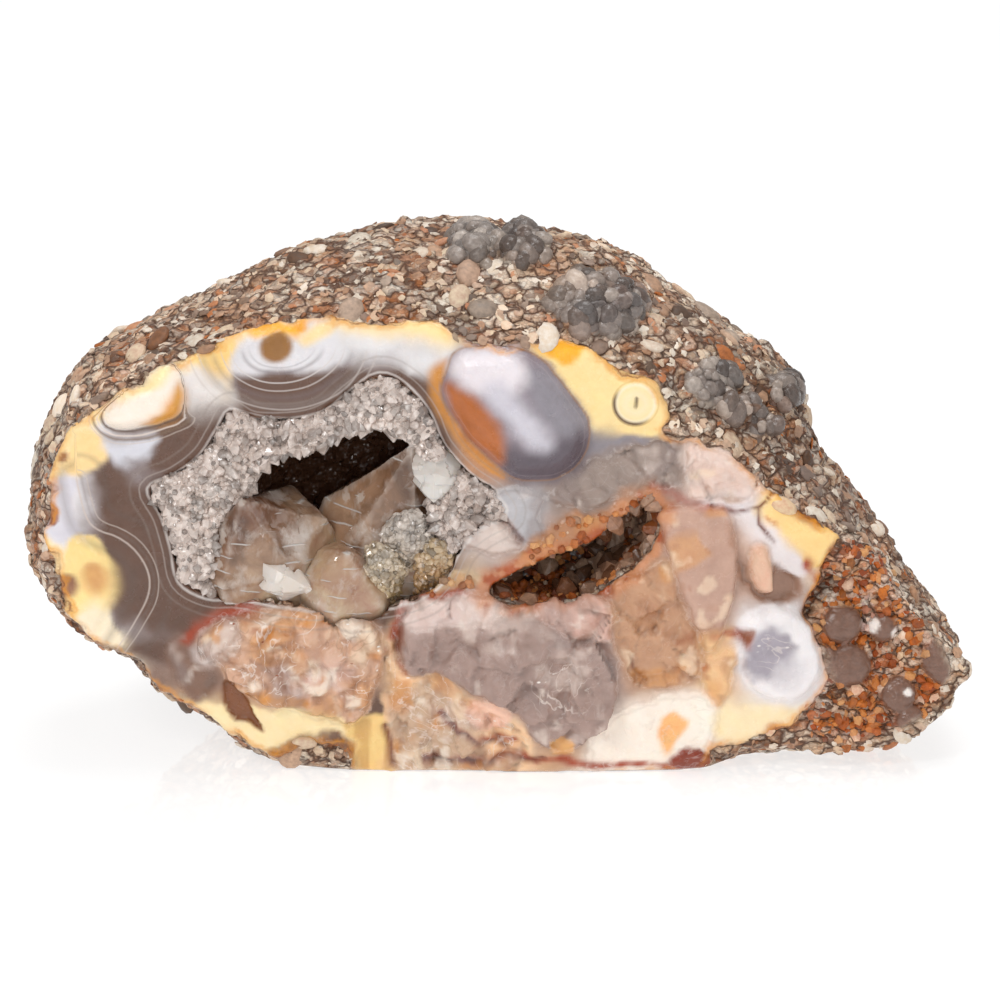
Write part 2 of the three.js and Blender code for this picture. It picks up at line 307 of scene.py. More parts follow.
def inside_by(spots, outline, reach=4.0):
    """How far each spot is inside a closed outline, negative outside, no further than reach."""
    loop = smooth_loop(outline)
    result = np.full(len(spots), -reach)
    low, high = loop.min(0) - reach, loop.max(0) + reach
    near = np.where(((spots > low) & (spots < high)).all(axis=1))[0]
    p = spots[near]
    away = np.full(len(p), 1e9)
    inside = np.zeros(len(p), bool)
    for a, b in zip(loop, np.roll(loop, -1, 0)):
        along = b - a
        t = np.clip(((p - a) @ along) / (along @ along + 1e-12), 0, 1)
        away = np.minimum(away, np.linalg.norm(p - a - t[:, None] * along, axis=1))
        crosses = (a[1] > p[:, 1]) != (b[1] > p[:, 1])
        rise = np.where(abs(along[1]) < 1e-12, 1e-12, along[1])
        inside ^= crosses & (p[:, 0] < a[0] + (p[:, 1] - a[1]) / rise * along[0])
    result[near] = np.where(inside, away, -np.minimum(away, reach))
    return result


UNIT_SQUARE = [(-1, -1), (1, -1), (1, 1), (-1, 1)]
middle_depth = inside_by(np.zeros((1, 2)), UNIT_SQUARE)[0]
print("middle of a rounded square of side 2 lies inside by", middle_depth.round(2))

# %% [markdown]
# ## The stone's body
# The real stone is one mass: a pebbly rind on the outside and banded agate on the broken face. The
# packed stone is copied and melted into an even skin of 0.6 mm squares. The face is divided once more,
# so that its small relief is real shape. Then every point is pushed along its normal.

# %% Even skin
SKIN_STEP = 0.00060


def plain_copy(node_name, piece_name):
    """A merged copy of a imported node, as a piece of its own."""
    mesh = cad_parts[node_name].data.copy()
    mesh.name = piece_name
    mesh.materials.clear()
    form = bmesh.new()
    form.from_mesh(mesh)
    bmesh.ops.remove_doubles(form, verts=form.verts, dist=1e-6)
    form.to_mesh(mesh)
    form.free()
    for layer in [a.name for a in mesh.attributes if a.name in ("UVMap", "Color", "custom_normal")]:
        mesh.attributes.remove(mesh.attributes[layer])
    return put_in_scene(bpy.data.objects.new(piece_name, mesh))


def bake(piece):
    """Applies the piece's modifiers to its mesh."""
    ready = piece.evaluated_get(bpy.context.evaluated_depsgraph_get())
    mesh = bpy.data.meshes.new_from_object(ready)
    mesh.name = piece.name
    piece.modifiers.clear()
    piece.data = mesh
    return piece


def even_skin(piece, step, smoothing=2):
    remesh = piece.modifiers.new("even_skin", "REMESH")
    remesh.mode = "VOXEL"
    remesh.voxel_size = step
    if smoothing:
        soften = piece.modifiers.new("soften", "SMOOTH")
        soften.factor = 0.5
        soften.iterations = smoothing
    return bake(piece)


def points_of(mesh):
    flat = np.empty(len(mesh.vertices) * 3)
    mesh.vertices.foreach_get("co", flat)
    return flat.reshape(-1, 3)


def normals_of(mesh):
    flat = np.empty(len(mesh.vertices) * 3)
    mesh.vertices.foreach_get("normal", flat)
    return flat.reshape(-1, 3)


stone = even_skin(plain_copy("stone", "agate_stone"), SKIN_STEP)
print("stone skin:", len(stone.data.vertices), "points")

# %% Outlines on the broken face
# What shows on the face is drawn as seen from the front and a little above: u, and the height at
# which a line of sight sloping down by 16 degrees meets the face plane.
EDGE_OF_AGATE = [
    (-45.3, 31.8), (-43.8, 35.1), (-40.3, 38.2), (-36.3, 40.3), (-35, 42.4), (-31.5, 43.2),
    (-28.5, 45.1), (-25, 46.7), (-21, 47), (-17, 47.4), (-12.5, 46.8), (-7, 47.2), (-4.8, 46.1),
    (-2.5, 44.8), (3, 45), (6.5, 44.7), (10.2, 43.4), (12.5, 41.8), (15.5, 40.4), (17.2, 37.8),
    (16.2, 35.3), (20, 34.9), (23.5, 33.3), (26, 30.5), (29, 28.1), (31.8, 26.1), (34.5, 24.9),
    (33.8, 22.8), (32.4, 20.3), (31.4, 17), (32.8, 13), (32.4, 8.4), (30, 5.5), (25.2, 3.4),
    (21.8, 2.4), (20, 0.4), (10, -0.8), (-6, -0.8), (-14.4, -0.6), (-15.8, 2.6), (-19, 2.8),
    (-23.6, 1.6), (-26.8, 3.4), (-30.3, 6.0), (-34.8, 9.2), (-39.4, 12.4), (-43.2, 15.8),
    (-44.5, 20.8), (-45.5, 24.5), (-44.8, 28.1),
]
RUSTY_TAIL = [
    (33.8, 24.5), (37, 24), (39.2, 22.2), (40.5, 19.3), (42.5, 16.1), (44.5, 13), (45, 8.9),
    (43, 5.7), (39, 4.2), (35, 2.8), (31.5, 4.2), (32.2, 7.8), (33, 12), (32.2, 14.1),
    (31.2, 17.2), (32, 19.8),
]
DRUSE_EDGE = [
    (-35.0, 29.7), (-32.5, 31.0), (-29.7, 33.1), (-28.0, 35.7), (-26.8, 37.8), (-24.5, 36.8),
    (-20.0, 36.8), (-17.0, 37.8), (-15.0, 39.5), (-12.0, 41.4), (-9.5, 40.3), (-7.2, 37.6),
    (-5.8, 34.4), (-3.2, 31.4), (-0.4, 29.4), (0.5, 27.4), (-2.0, 25.6), (-4.2, 23.6),
    (-6.0, 20.3), (-9.0, 18.2), (-14.0, 17.2), (-20.0, 17.7), (-26.0, 18.5), (-29.5, 18.8),
    (-32.0, 20.3), (-32.8, 23.6), (-33.7, 26.8),
]
# name: (colour, soft edge in mm, wobble in mm, outline)
ZONES = {
    "cream_upper_left": ("fbdcab", 0.9, 0.5, [
        (-44.2, 32.2), (-43, 34.3), (-41.2, 35.9), (-39.8, 34.9), (-38.8, 33.6), (-40.4, 32),
        (-42.6, 30.7)]),
    "blue_white_left": ("dcd8de", 0.9, 0.3, [
        (-44.8, 30.7), (-42.4, 30.9), (-42.8, 27.6), (-42.2, 25.3), (-44, 24.3), (-45.6, 25.5),
        (-45, 28.1)]),
    "blue_white_upper": ("d9d8de", 1.4, 0.8, [
        (-39.4, 34.5), (-34.8, 34.9), (-35.8, 32.6), (-38.2, 32.8)]),
    "cream_lobe_left": ("ffdfa8", 0.5, 0.3, [
        (-42.4, 25.3), (-40.4, 24.5), (-38.9, 22.2), (-38.7, 19.1), (-39.6, 16.4), (-41, 14.3),
        (-42.8, 15.7), (-44, 18.2), (-43.8, 21.6), (-43.4, 24)]),
    "lobe_foot": ("fbecd2", 0.6, 0.3, [
        (-42, 17), (-40.2, 17.8), (-38.4, 15.3), (-38, 13.2), (-40.5, 13.5), (-42.5, 15.6)]),
    "brown_spot": ("8f6852", 0.25, 0.15, [
        (-43.7, 20.9), (-42.6, 20.6), (-42.3, 19.6), (-42.9, 18.6), (-44.0, 18.5), (-44.8, 19.4),
        (-44.5, 20.5)]),
    "tan_spot": ("d1a274", 0.45, 0.2, [
        (-41.4, 21.9), (-40.2, 21.9), (-39.4, 20.8), (-39.5, 19.6), (-40.4, 18.9), (-41.4, 19.2),
        (-41.9, 20.6)]),
    "dark_spot": ("8a5f58", 0.3, 0.3, [
        (-45.2, 28.1), (-44.2, 27.8), (-44.2, 26.3), (-45.0, 26.2)]),
    "shoulder_cream": ("fbd79d", 0.7, 0.5, [
        (-31, 44.1), (-27.8, 45.1), (-26, 45.5), (-26.4, 42), (-27.2, 39.9), (-29.5, 42), (-30.4, 43)]),
    "shoulder_white": ("e9e3df", 1.2, 0.6, [
        (-31.4, 42.4), (-29.6, 42), (-27, 40.7), (-26.4, 39.5), (-29.4, 38.6), (-30.8, 38), (-31.4, 39.9)]),
    "nodule": ("fff0e4", 0.25, 0.15, [
        (-39.4, 36.6), (-39.4, 38), (-37.6, 39.5), (-35.9, 40.7), (-34.8, 42.1), (-33.2, 43),
        (-31.9, 41.8), (-31.3, 39.7), (-31.6, 37.6), (-33.5, 36.5), (-36, 35.9), (-38.2, 35.9)]),
    "nodule_yellow": ("fde9bb", 0.7, 0.3, [
        (-38, 38.9), (-35.8, 40.7), (-34.2, 42.4), (-32.8, 42.6), (-34, 40.5), (-36.4, 39.3)]),
    "nodule_orange": ("dba468", 0.7, 0.3, [
        (-35.6, 36.4), (-33.4, 38.2), (-32.0, 40.7), (-31.3, 39.3), (-31.7, 37.4), (-33.5, 36.2)]),
    "crown_white": ("e2dfe1", 0.6, 0.3, [
        (-26.8, 42), (-26.2, 44.1), (-23.8, 46.1), (-20, 46.8), (-17, 47.2), (-15.2, 45.3), (-15.5, 43),
        (-18.2, 41.8), (-22, 42), (-25, 41.4)]),
    "crown_orange": ("f3b96a", 0.5, 0.5, [
        (-25, 46.6), (-23, 47.2), (-21, 46.8), (-18.8, 47.4), (-19.5, 45.9), (-21.2, 45.3), (-23.8, 45.5)]),
    "crown_cream": ("fde0b4", 0.5, 0.3, [
        (-20, 45.3), (-18.2, 46.6), (-16.2, 47.2), (-16.8, 45.7), (-19, 44.7)]),
    "crown_spot": ("8f6740", 0.35, 0.2, [
        (-22.9, 45.6), (-21.6, 45.9), (-20.7, 45.1), (-20.7, 43.8), (-21.8, 42.9), (-23.2, 43.3),
        (-23.6, 44.6)]),
    "top_cream": ("fde0b0", 0.6, 0.5, [
        (-16, 47.2), (-11, 46.8), (-6, 47.2), (-4.4, 45.7), (-5, 44.1), (-8, 44.7), (-12, 45.1),
        (-15, 45.5)]),
    "top_white": ("e9e6e6", 0.8, 0.4, [
        (-15.5, 45.5), (-12, 45.1), (-6, 44.3), (-4.8, 43.6), (-6, 42), (-8.8, 41.6), (-11, 43.4),
        (-13.8, 43.2), (-15.5, 44.1)]),
    "cream_right": ("fee0ae", 0.5, 0.5, [
        (3.5, 44.3), (7, 44.6), (10.5, 43.4), (12.5, 41.6), (15.5, 40.1), (16.8, 37.8), (15.5, 35.3),
        (12, 34.9), (9, 35.7), (7.8, 38.6), (6, 41.4)]),
    "cream_right_orange": ("f6b863", 0.7, 0.6, [
        (4, 44.1), (6, 44.7), (8.5, 43.9), (6, 42.4)]),
    "cream_right_fade": ("8a8488", 0.7, 0.2, [
        (8.5, 35.3), (14, 35.3), (15, 34.5), (11, 33.2), (8.6, 32.8)]),
    "worn_quartz": ("988981", 0.6, 0.8, [
        (6, 30.9), (9, 32.6), (14, 34.5), (19, 34.9), (20, 33.6), (19, 30.9), (15.5, 29.5), (11, 28.6),
        (7, 27.4), (4.5, 28.6)]),
    "pink_top": ("e6cfc4", 0.5, 0.5, [
        (19, 34.7), (23.5, 33.2), (26, 30.3), (24.5, 28.6), (22, 28.4), (19, 29.1), (18.4, 31.8)]),
    "pink_plate": ("bf9f90", 0.3, 0.3, [
        (16, 27.4), (20, 28.2), (23, 27.4), (23.8, 22.4), (23.2, 17.8), (22.2, 14.1), (20.6, 13),
        (20, 14.5), (18.4, 18.6), (17, 22.4)]),
    "brown_shade": ("977868", 0.8, 0.6, [
        (23.8, 22.4), (25.2, 18.2), (29, 17.6), (30.6, 19.3), (30, 21.1), (27.6, 22.2), (27, 19.3),
        (25.6, 19.1), (24.8, 21.6)]),
    "white_stripe": ("ece3e2", 0.5, 0.3, [
        (20, 28.6), (24.5, 28.9), (27.5, 26.6), (30, 22.9), (31.2, 21.4), (30, 20.8), (27, 22.4),
        (24, 26.6)]),
    "cream_far_right": ("f9d7a1", 0.4, 0.9, [
        (26.2, 29.1), (29, 28.1), (32, 26.1), (34.6, 24.9), (33.8, 22.8), (32.2, 21.8), (30.6, 22.8),
        (28.2, 24.9), (26.4, 27)]),
    "orange_patch": ("8a4a26", 0.3, 0.4, [
        (28.6, 29.0), (30.2, 28.6), (32.0, 26.6), (32.2, 25.6), (31.0, 25.8), (29.6, 27.4)]),
    "grey_fold": ("b9b6b8", 0.4, 0.2, [
        (-0.4, 29.5), (2, 30.1), (4.5, 28.9), (4, 27), (4.5, 24.5), (2.5, 24), (0.5, 25.5), (0, 27.4)]),
    "lilac_hump": ("cbbcb5", 0.4, 0.3, [
        (-4.5, 24), (-2.5, 26.4), (-0.5, 26.8), (1.5, 25.3), (2.5, 23.6), (0, 22.8), (-2.2, 23.2)]),
    "olive_crumbs": ("bfa88e", 0.5, 0.7, [
        (-14.5, 19.3), (-12.8, 21.6), (-10, 22.4), (-6, 21.1), (-2, 20.5), (-3, 19.1), (-8, 18.4),
        (-12, 17.4), (-14, 17.8)]),
    "rust_floor": ("6a3318", 0.5, 0.5, [
        (-1.5, 19.1), (2, 20.8), (6, 22.2), (11, 24.5), (15.5, 28.6), (16, 27.1), (14, 24.5), (10, 21.4),
        (6, 18.8), (2, 18.2), (-0.5, 18.2)]),
    "rusty_lip": ("b08468", 0.5, 0.9, [
        (2, 23.2), (4.5, 25.5), (7, 27.1), (10, 27.4), (12.5, 29.1), (14.8, 29.9), (15.2, 28.6),
        (12, 26.6), (10, 24.5), (6, 22.8), (3, 21.4)]),
    "small_mass": ("cfab95", 0.4, 0.5, [
        (-30.5, 14.1), (-28.5, 16.4), (-24, 17.6), (-18, 17.2), (-12.8, 16.1), (-11.5, 13), (-12.2, 8.9),
        (-13.8, 5.5), (-17, 5.1), (-21, 6.6), (-24.5, 7.3), (-26.8, 8.9), (-28.6, 11.6), (-30, 11.6)]),
    "mass_pink": ("d9bcb0", 0.8, 0.8, [
        (-23, 11.6), (-20, 12.5), (-15.5, 11.6), (-15, 8.9), (-18, 7.4), (-21.6, 8.4)]),
    "mass_amber": ("d29862", 0.5, 0.5, [
        (-25.5, 8.9), (-22.5, 8.9), (-19.5, 7.8), (-19.8, 6.8), (-23, 7.6), (-25, 7.8)]),
    "mass_grey": ("cdb8ac", 0.5, 0.5, [
        (-30.4, 15.1), (-28, 17), (-26, 16.1), (-26.4, 13), (-28.5, 11.1), (-30.2, 12.4)]),
    "dark_bay": ("7f6355", 0.5, 0.4, [
        (-33.6, 12.8), (-31.6, 14.1), (-30.6, 11.6), (-28.4, 10.7), (-28.6, 8.9), (-30.4, 7.6),
        (-32.4, 9.1)]),
    "mass_blue": ("cabdb8", 0.3, 0.2, [
        (-31, 13), (-29.5, 13.6), (-28.4, 12.4), (-29.4, 11.1), (-30.6, 11.6)]),
    "cream_base": ("fde5bd", 0.35, 0.5, [
        (-31.4, 6.6), (-27.8, 7.2), (-25.2, 6.6), (-20, 7), (-14.8, 5.3), (-15, 4.3), (-18.2, 3.9),
        (-21, 3.2), (-24.3, 1.4), (-27.4, 3.2)]),
    "brown_wedge": ("7d5036", 0.25, 0.3, [
        (-27.8, 9.7), (-26.6, 9.5), (-25.6, 7.8), (-24.4, 5.5), (-23.8, 4.1), (-25.2, 4.9), (-26.8, 5.5),
        (-27.8, 7.2)]),
    "dark_lump": ("6f5547", 0.4, 0.6, [
        (-23.8, 2), (-21, 3), (-18.8, 3.6), (-16.4, 4.1), (-15, 2.8), (-14.3, 1.4), (-15.5, 0), (-18, 0.4),
        (-21, 0.8)]),
    "yellow_strip": ("f0cf98", 0.7, 0.9, [
        (-15.4, 5.3), (-12.2, 6.1), (-10.8, 5.5), (-11.2, 2.8), (-11.6, 0), (-14, 0), (-14.8, 2.8)]),
    "tan_ground": ("f2ceac", 0.6, 0.8, [
        (-11.6, 14.1), (-10.4, 15.1), (-9.8, 12), (-6, 10.7), (-3, 7.8), (2, 5.3), (3, 1.6), (0, -0.3),
        (-6, -0.3), (-11, -0.3), (-11.4, 5.7)]),
    "chalcedony": ("a38d85", 0.3, 0.5, [
        (-9.6, 18.2), (-7, 18.9), (-2.5, 19.1), (0, 18.2), (6, 17.6), (11.2, 18.4), (11.2, 14.1),
        (11.8, 10.7), (11, 5.7), (7, 2), (3.5, 3.4), (2, 6.1), (-3, 8.4), (-6.4, 10.3), (-9.6, 10.7),
        (-10.4, 14.5)]),
    "chalcedony_lit": ("dfcbc4", 0.5, 0.6, [
        (-9.6, 17.8), (-7, 18.6), (-2, 19.1), (0.3, 17.8), (-0.2, 15.9), (-5, 15.1), (-9.2, 14.9)]),
    "pink_facet": ("d3b2a6", 0.3, 0.2, [
        (3.4, 17.4), (7, 18), (11.2, 18.2), (11.6, 14.5), (8, 14.1), (4.8, 15.5)]),
    "brown_window": ("bd967c", 0.4, 0.3, [
        (11.2, 19.7), (14, 21.1), (17.2, 22.4), (18.2, 18.2), (20, 14.1), (20.5, 11.1), (18, 8.9),
        (14, 8.9), (12.2, 11.1), (11.2, 14.1)]),
    "cream_stick": ("e3bea8", 0.2, 0.2, [
        (25.2, 23.6), (26.6, 23.9), (27.2, 21.4), (27.6, 19.1), (25.8, 19.1), (25, 21.1)]),
    "tan_crust": ("e6bf98", 0.4, 0.6, [
        (20, 14.1), (22.2, 15.3), (24.2, 14.5), (23.6, 11.1), (23, 7.8), (21.2, 7.2), (20.2, 9.9)]),
    "blue_lobe": ("f1ecec", 0.5, 0.3, [
        (23.6, 14.1), (24.8, 17), (28, 17.8), (30.6, 17), (32.2, 14.1), (32.6, 11.1), (30.8, 7.8),
        (28, 7.4), (25, 8.9), (24, 11.6)]),
    "lobe_shade": ("a59ea5", 1.7, 1.1, [
        (24.4, 14.1), (27, 15.5), (29.2, 14.5), (29, 11.8), (27.2, 9.9), (25, 10.7)]),
    "white_base": ("fdf0e4", 0.5, 0.5, [
        (11.2, 5.7), (15, 7.2), (20, 8.6), (21.8, 6.6), (21.6, 2.8), (19, 1.0), (14, 0), (9, 0.2),
        (9.6, 3.6)]),
    "cream_spot": ("f3bd8c", 0.7, 0.4, [
        (16.4, 5.3), (17.6, 6.1), (19, 5.3), (18, 3.6), (17.2, 2), (16.4, 3)]),
    "base_cream": ("fee8c6", 0.5, 0.4, [
        (21.8, 6.6), (26, 7.2), (30, 6.1), (29, 4.5), (25.4, 3.4), (22.2, 3.9)]),
    "amber_foot": ("d9a878", 0.3, 0.2, [(5.2, 3.6), (7.4, 3.4), (7.2, 2), (5.4, 2)]),
    "pink_low_facet": ("f0c6b2", 0.25, 0.2, [
        (-3.8, 7.2), (-1, 7.6), (1, 6.6), (0.8, 4.7), (-1.4, 4.3), (-3.2, 5.3)]),
    "red_foot": ("7f3828", 0.3, 0.5, [(17.6, 1.8), (19.6, 3.0), (21.4, 2.0), (21.6, 0), (17.4, -0.4)]),
    "rust_rim": ("c58c55", 0.3, 0.2, [
        (-7, 42), (-5.4, 43), (-5.6, 40.6), (-5, 38), (-3, 35.1), (-0.4, 32.4), (0.8, 30.7), (-0.8, 31.4),
        (-3.4, 33.9), (-5.6, 36.8), (-6.8, 39.3)]),
    "great_eye": ("8b8086", 0.15, 0.1, [
        (-5.4, 42), (-4.2, 44.1), (0, 44.7), (3.6, 43.6), (6, 41.1), (7.6, 38.9), (9, 36.6), (8.8, 33.6),
        (7, 31.4), (4.5, 30.5), (1.5, 30.7), (-0.6, 32.2), (-3.2, 34.9), (-5.2, 37.8), (-6, 39.9)]),
    "eye_blue": ("8f8a90", 0.9, 0.3, [
        (2, 42), (4.8, 42), (7.2, 39.1), (8.8, 36.6), (8.4, 34.9), (5.6, 34.9), (4, 37), (2.5, 39.6)]),
    "eye_dark": ("5c535a", 1.0, 0.3, [
        (0.6, 34.4), (3, 34.3), (8, 35.9), (8.8, 32.8), (6.4, 30.7), (1.5, 30.7), (0, 32.2)]),
    "eye_white": ("e6dfe2", 1.1, 0.3, [
        (-5, 42.4), (-3, 44.1), (0.5, 44.1), (2.6, 42.0), (1.0, 39.6), (-3, 40.0)]),
    "eye_rust": ("a9663f", 0.8, 0.3, [
        (-5.4, 40.7), (-3, 39.9), (-0.8, 37.8), (0.4, 35.1), (0, 32.2), (-2.4, 34.3), (-4.4, 37)]),
    "eye_shine": ("cdc9d0", 1.0, 0.3, [
        (-1.4, 40.3), (0.2, 40.7), (2.2, 38.6), (4.6, 35.7), (4.8, 34.1), (2.8, 34.3), (0.6, 36.8),
        (-0.8, 38.6)]),
}
print("zones on the face:", len(ZONES))

# %% Coarser skin inside the hollow


def seen_height(p):
    """Height at which a sloping line of sight through each point meets the face plane."""
    return p[:, 2] + p[:, 1] * math.tan(LOOK_DOWN)


def spots_on_face(p):
    return np.stack([p[:, 0], seen_height(p)], axis=1)


HIDDEN_KEEP = 0.22
BACK_OF_HOLLOW = 21.5
FRONT_DEPTH = 22
skin = to_face(points_of(stone.data))
over_hollow = inside_by(skin[:, [0, 2]], DRUSE_EDGE) > -0.5
behind_lining = over_hollow & (skin[:, 1] > 3) & (skin[:, 1] < BACK_OF_HOLLOW)
group = stone.vertex_groups.new(name="behind_lining")
group.add([int(i) for i in np.where(behind_lining)[0]], 1.0, "REPLACE")
thin = stone.modifiers.new("thin_out", "DECIMATE")
thin.vertex_group = "behind_lining"
thin.ratio = 1 - behind_lining.mean() * (1 - HIDDEN_KEEP)
bake(stone)
stone.vertex_groups.clear()
print("behind the lining:", int(behind_lining.sum()), "points thinned out")

# %% Finer skin on the face
skin = to_face(points_of(stone.data))
facing = normals_of(stone.data)
on_face = inside_by(spots_on_face(skin), EDGE_OF_AGATE)
on_tail = inside_by(spots_on_face(skin), RUSTY_TAIL)
seen_from_front = (facing[:, 1] < -0.1) | (skin[:, 1] < 1.0)
fine = ((on_face > -1.5) | (on_tail > -1)) & (skin[:, 1] < 8) & seen_from_front
form = bmesh.new()
form.from_mesh(stone.data)
form.verts.ensure_lookup_table()
edges = [e for e in form.edges if fine[e.verts[0].index] and fine[e.verts[1].index]]
bmesh.ops.subdivide_edges(form, edges=edges, cuts=1, use_grid_fill=True)
bmesh.ops.smooth_vert(form, verts=form.verts, factor=0.5, use_axis_x=True, use_axis_y=True, use_axis_z=True)
bmesh.ops.triangulate(form, faces=form.faces)
form.to_mesh(stone.data)
form.free()
print("stone mesh:", len(stone.data.vertices), "points,", len(stone.data.polygons), "triangles")

# %% [markdown]
# ## Relief of the stone
# The rind of a geode weathers into crumbs and knobs, agate breaks into smooth shell-shaped hollows, and
# the chalcedony below the hollow breaks into flat facets. Each zone gets its own lift, so that the
# nodules and plates stand proud and the cracks are real grooves.

# %% Where the face and the rind are
skin = to_face(points_of(stone.data))
facing = normals_of(stone.data)
wobble = np.stack([cloud(skin, 3.2, 11, 3), cloud(skin, 3.2, 23, 3)], axis=1)
fine_wobble = np.stack([cloud(skin, 1.1, 15, 2), cloud(skin, 1.1, 27, 2)], axis=1)
spots = spots_on_face(skin)
SLOT = [
    (-1.5, 19.3), (3.0, 21.9), (9.0, 24.4), (13.6, 27.8), (15.5, 28.8), (16.2, 27.4), (14.2, 22.4),
    (9.5, 19.0), (6.0, 17.9), (2.0, 17.9),
]
looks_out = smooth_step(0.3, 0.55, -facing[:, 1]) * (skin[:, 1] < 5)
agate_by = inside_by(spots + wobble * 0.8 + fine_wobble * 0.4, EDGE_OF_AGATE)
face = smooth_step(-0.25, 0.25, agate_by) * looks_out
in_slot = (inside_by(skin[:, [0, 2]], SLOT) > -0.4) & (skin[:, 1] > 0.4) & (skin[:, 1] < 9)
tail = smooth_step(-0.6, 0.6, inside_by(spots + wobble * 0.8, RUSTY_TAIL)) * (skin[:, 1] < 11)
druse_by = inside_by(skin[:, [0, 2]], DRUSE_EDGE)
rind = (1 - face) * (1 - tail) * ~in_slot
zone_by = {
    name: inside_by(spots + wobble * wander * 1.3 + fine_wobble * wander * 0.7, outline)
    for name, (_, _, wander, outline) in ZONES.items()
}
print("face points:", int((face > 0.5).sum()), "rind points:", int((rind > 0.5).sum()))


def line_away(at, line):
    """Distance to an open line."""
    p = np.asarray(line, float)
    away = np.full(len(at), 1e9)
    for a, b in zip(p[:-1], p[1:]):
        along = b - a
        t = np.clip(((at - a) @ along) / (along @ along), 0, 1)
        away = np.minimum(away, np.linalg.norm(at - a - t[:, None] * along, axis=1))
    return away


def facets(points, size, tilt, salt):
    """Flat facets, each leaning its own way."""
    _, _, number, centre = grains(points, size, salt)
    lean_u = np.sin(number * 91.7)
    lean_v = np.sin(number * 57.3 + 1)
    step = np.sin(number * 33.1) * size * 0.4
    return tilt * ((points - centre)[:, 0] * lean_u + (points - centre)[:, 2] * lean_v + step)


# %% Lift of every zone
# zone: (lift in mm, how far in from its edge the lift is reached)
LIFTS = {
    "great_eye": (0.9, 2.4), "nodule": (0.9, 1.6), "crown_white": (0.3, 1.5),
    "cream_lobe_left": (0.4, 1.2), "small_mass": (0.9, 1.0), "chalcedony": (0.8, 0.5),
    "pink_facet": (0.35, 0.3), "brown_window": (0.3, 0.5), "pink_plate": (0.9, 0.5),
    "cream_stick": (0.8, 0.4), "blue_lobe": (0.9, 1.2), "tan_crust": (0.5, 0.6),
    "grey_fold": (0.7, 0.6), "lilac_hump": (0.9, 0.8), "dark_lump": (0.7, 0.8),
    "brown_shade": (-0.9, 0.8), "brown_wedge": (-0.7, 0.4), "red_foot": (0.5, 0.5),
    "cream_far_right": (0.3, 0.6), "dark_bay": (-0.4, 0.8), "mass_blue": (0.4, 0.5),
    "rusty_lip": (0.3, 0.6), "pink_low_facet": (0.3, 0.3), "worn_quartz": (0.3, 0.8),
}
CRACKS = [  # depth, half width, line
    (0.9, 0.28, [(-4.2, 24.2), (-2.0, 26.8), (-0.8, 27.5), (0.5, 26.6), (1.5, 25.3), (2.1, 24.5)]),
    (0.3, 0.16, [(27.5, 29.4), (25.9, 27.9), (26.0, 26.0), (27.5, 24.3)]),
    (0.3, 0.16, [(25.8, 27.9), (23.6, 27.3), (21.0, 28.2)]),
    (1.6, 0.7, [(31.4, 16.8), (32.6, 18.6), (33.6, 19.8)]),
    (0.6, 0.3, [(-10.4, 13.0), (-9.8, 16.2), (-8.2, 18.4)]),
    (0.4, 0.22, [(-7.6, 1.5), (-5.0, 0.9), (-3.6, 1.2), (-1.6, 0.8), (0.0, 1.7), (2.2, 1.2), (4.4, 1.5)]),
    (0.6, 0.3, [(-11.6, 4.8), (-11.1, 3.0), (-10.9, 0.6)]),
    (0.4, 0.22, [(-5.6, 6.2), (-4.4, 4.4), (-3.4, 4.2), (-2.2, 3.0), (-0.6, 3.2), (0.8, 2.4)]),
    (0.4, 0.2, [(13.2, 11.8), (13.6, 10.4), (14.6, 9.6)]),
]
FAR = 9.0
FAR_RING = 30

# %% Zones and cracks pressed into the face
crack_by = np.full(len(skin), FAR)
lift = np.zeros(len(skin))
for name, (height, reach) in LIFTS.items():
    lift += height * smooth_step(-0.15, reach, zone_by[name])
lift -= 0.25 * np.exp(-(zone_by["great_eye"] / 0.3) ** 2)
lift -= 0.3 * np.exp(-((zone_by["nodule"] + 0.1) / 0.3) ** 2)
for depth, half_width, line in CRACKS:
    away = line_away(spots + wobble * 0.25, line)
    crack_by = np.minimum(crack_by, away / half_width)
    lift -= depth * np.exp(-(away / half_width) ** 2)
print("cracks:", len(CRACKS), "and lifted zones:", len(LIFTS))


# %% Facets and lumps of the broken face
def zones_together(names, low, high):
    """1 inside any of the named zones, fading out at their edges."""
    return np.clip(sum(smooth_step(low, high, zone_by[name]) for name in names), 0, 1)


BROKEN_ZONES = ("chalcedony", "brown_window", "pink_top", "worn_quartz", "tan_ground")
broken = zones_together(BROKEN_ZONES, 0, 0.5)
lumpy = smooth_step(0, 0.8, zone_by["small_mass"])
smooth_agate = zones_together(("great_eye", "nodule"), -0.2, 0.6)
lift += broken * (facets(skin, 3.6, 0.3, 40) + facets(skin, 1.5, 0.26, 41) * 0.7)
_, knob_gap, knob_number, _ = grains(skin + wobble[:, [0, 0, 1]] * 0.4, 2.6, 50)
_, small_gap, _, _ = grains(skin, 1.1, 51)
lift += lumpy * (0.85 * smooth_step(0, 1.0, knob_gap) * (0.4 + 0.6 * knob_number) - 0.3)
lift += lumpy * 0.16 * smooth_step(0, 0.5, small_gap)
lift += (1 - smooth_agate) * (0.16 * cloud(skin, 4.5, 60) + 0.05 * cloud(skin, 1.2, 61, 3))
face_lift = lift * face * (1 - tail)
print("lift of the face in mm:", face_lift.min().round(2), "to", face_lift.max().round(2))

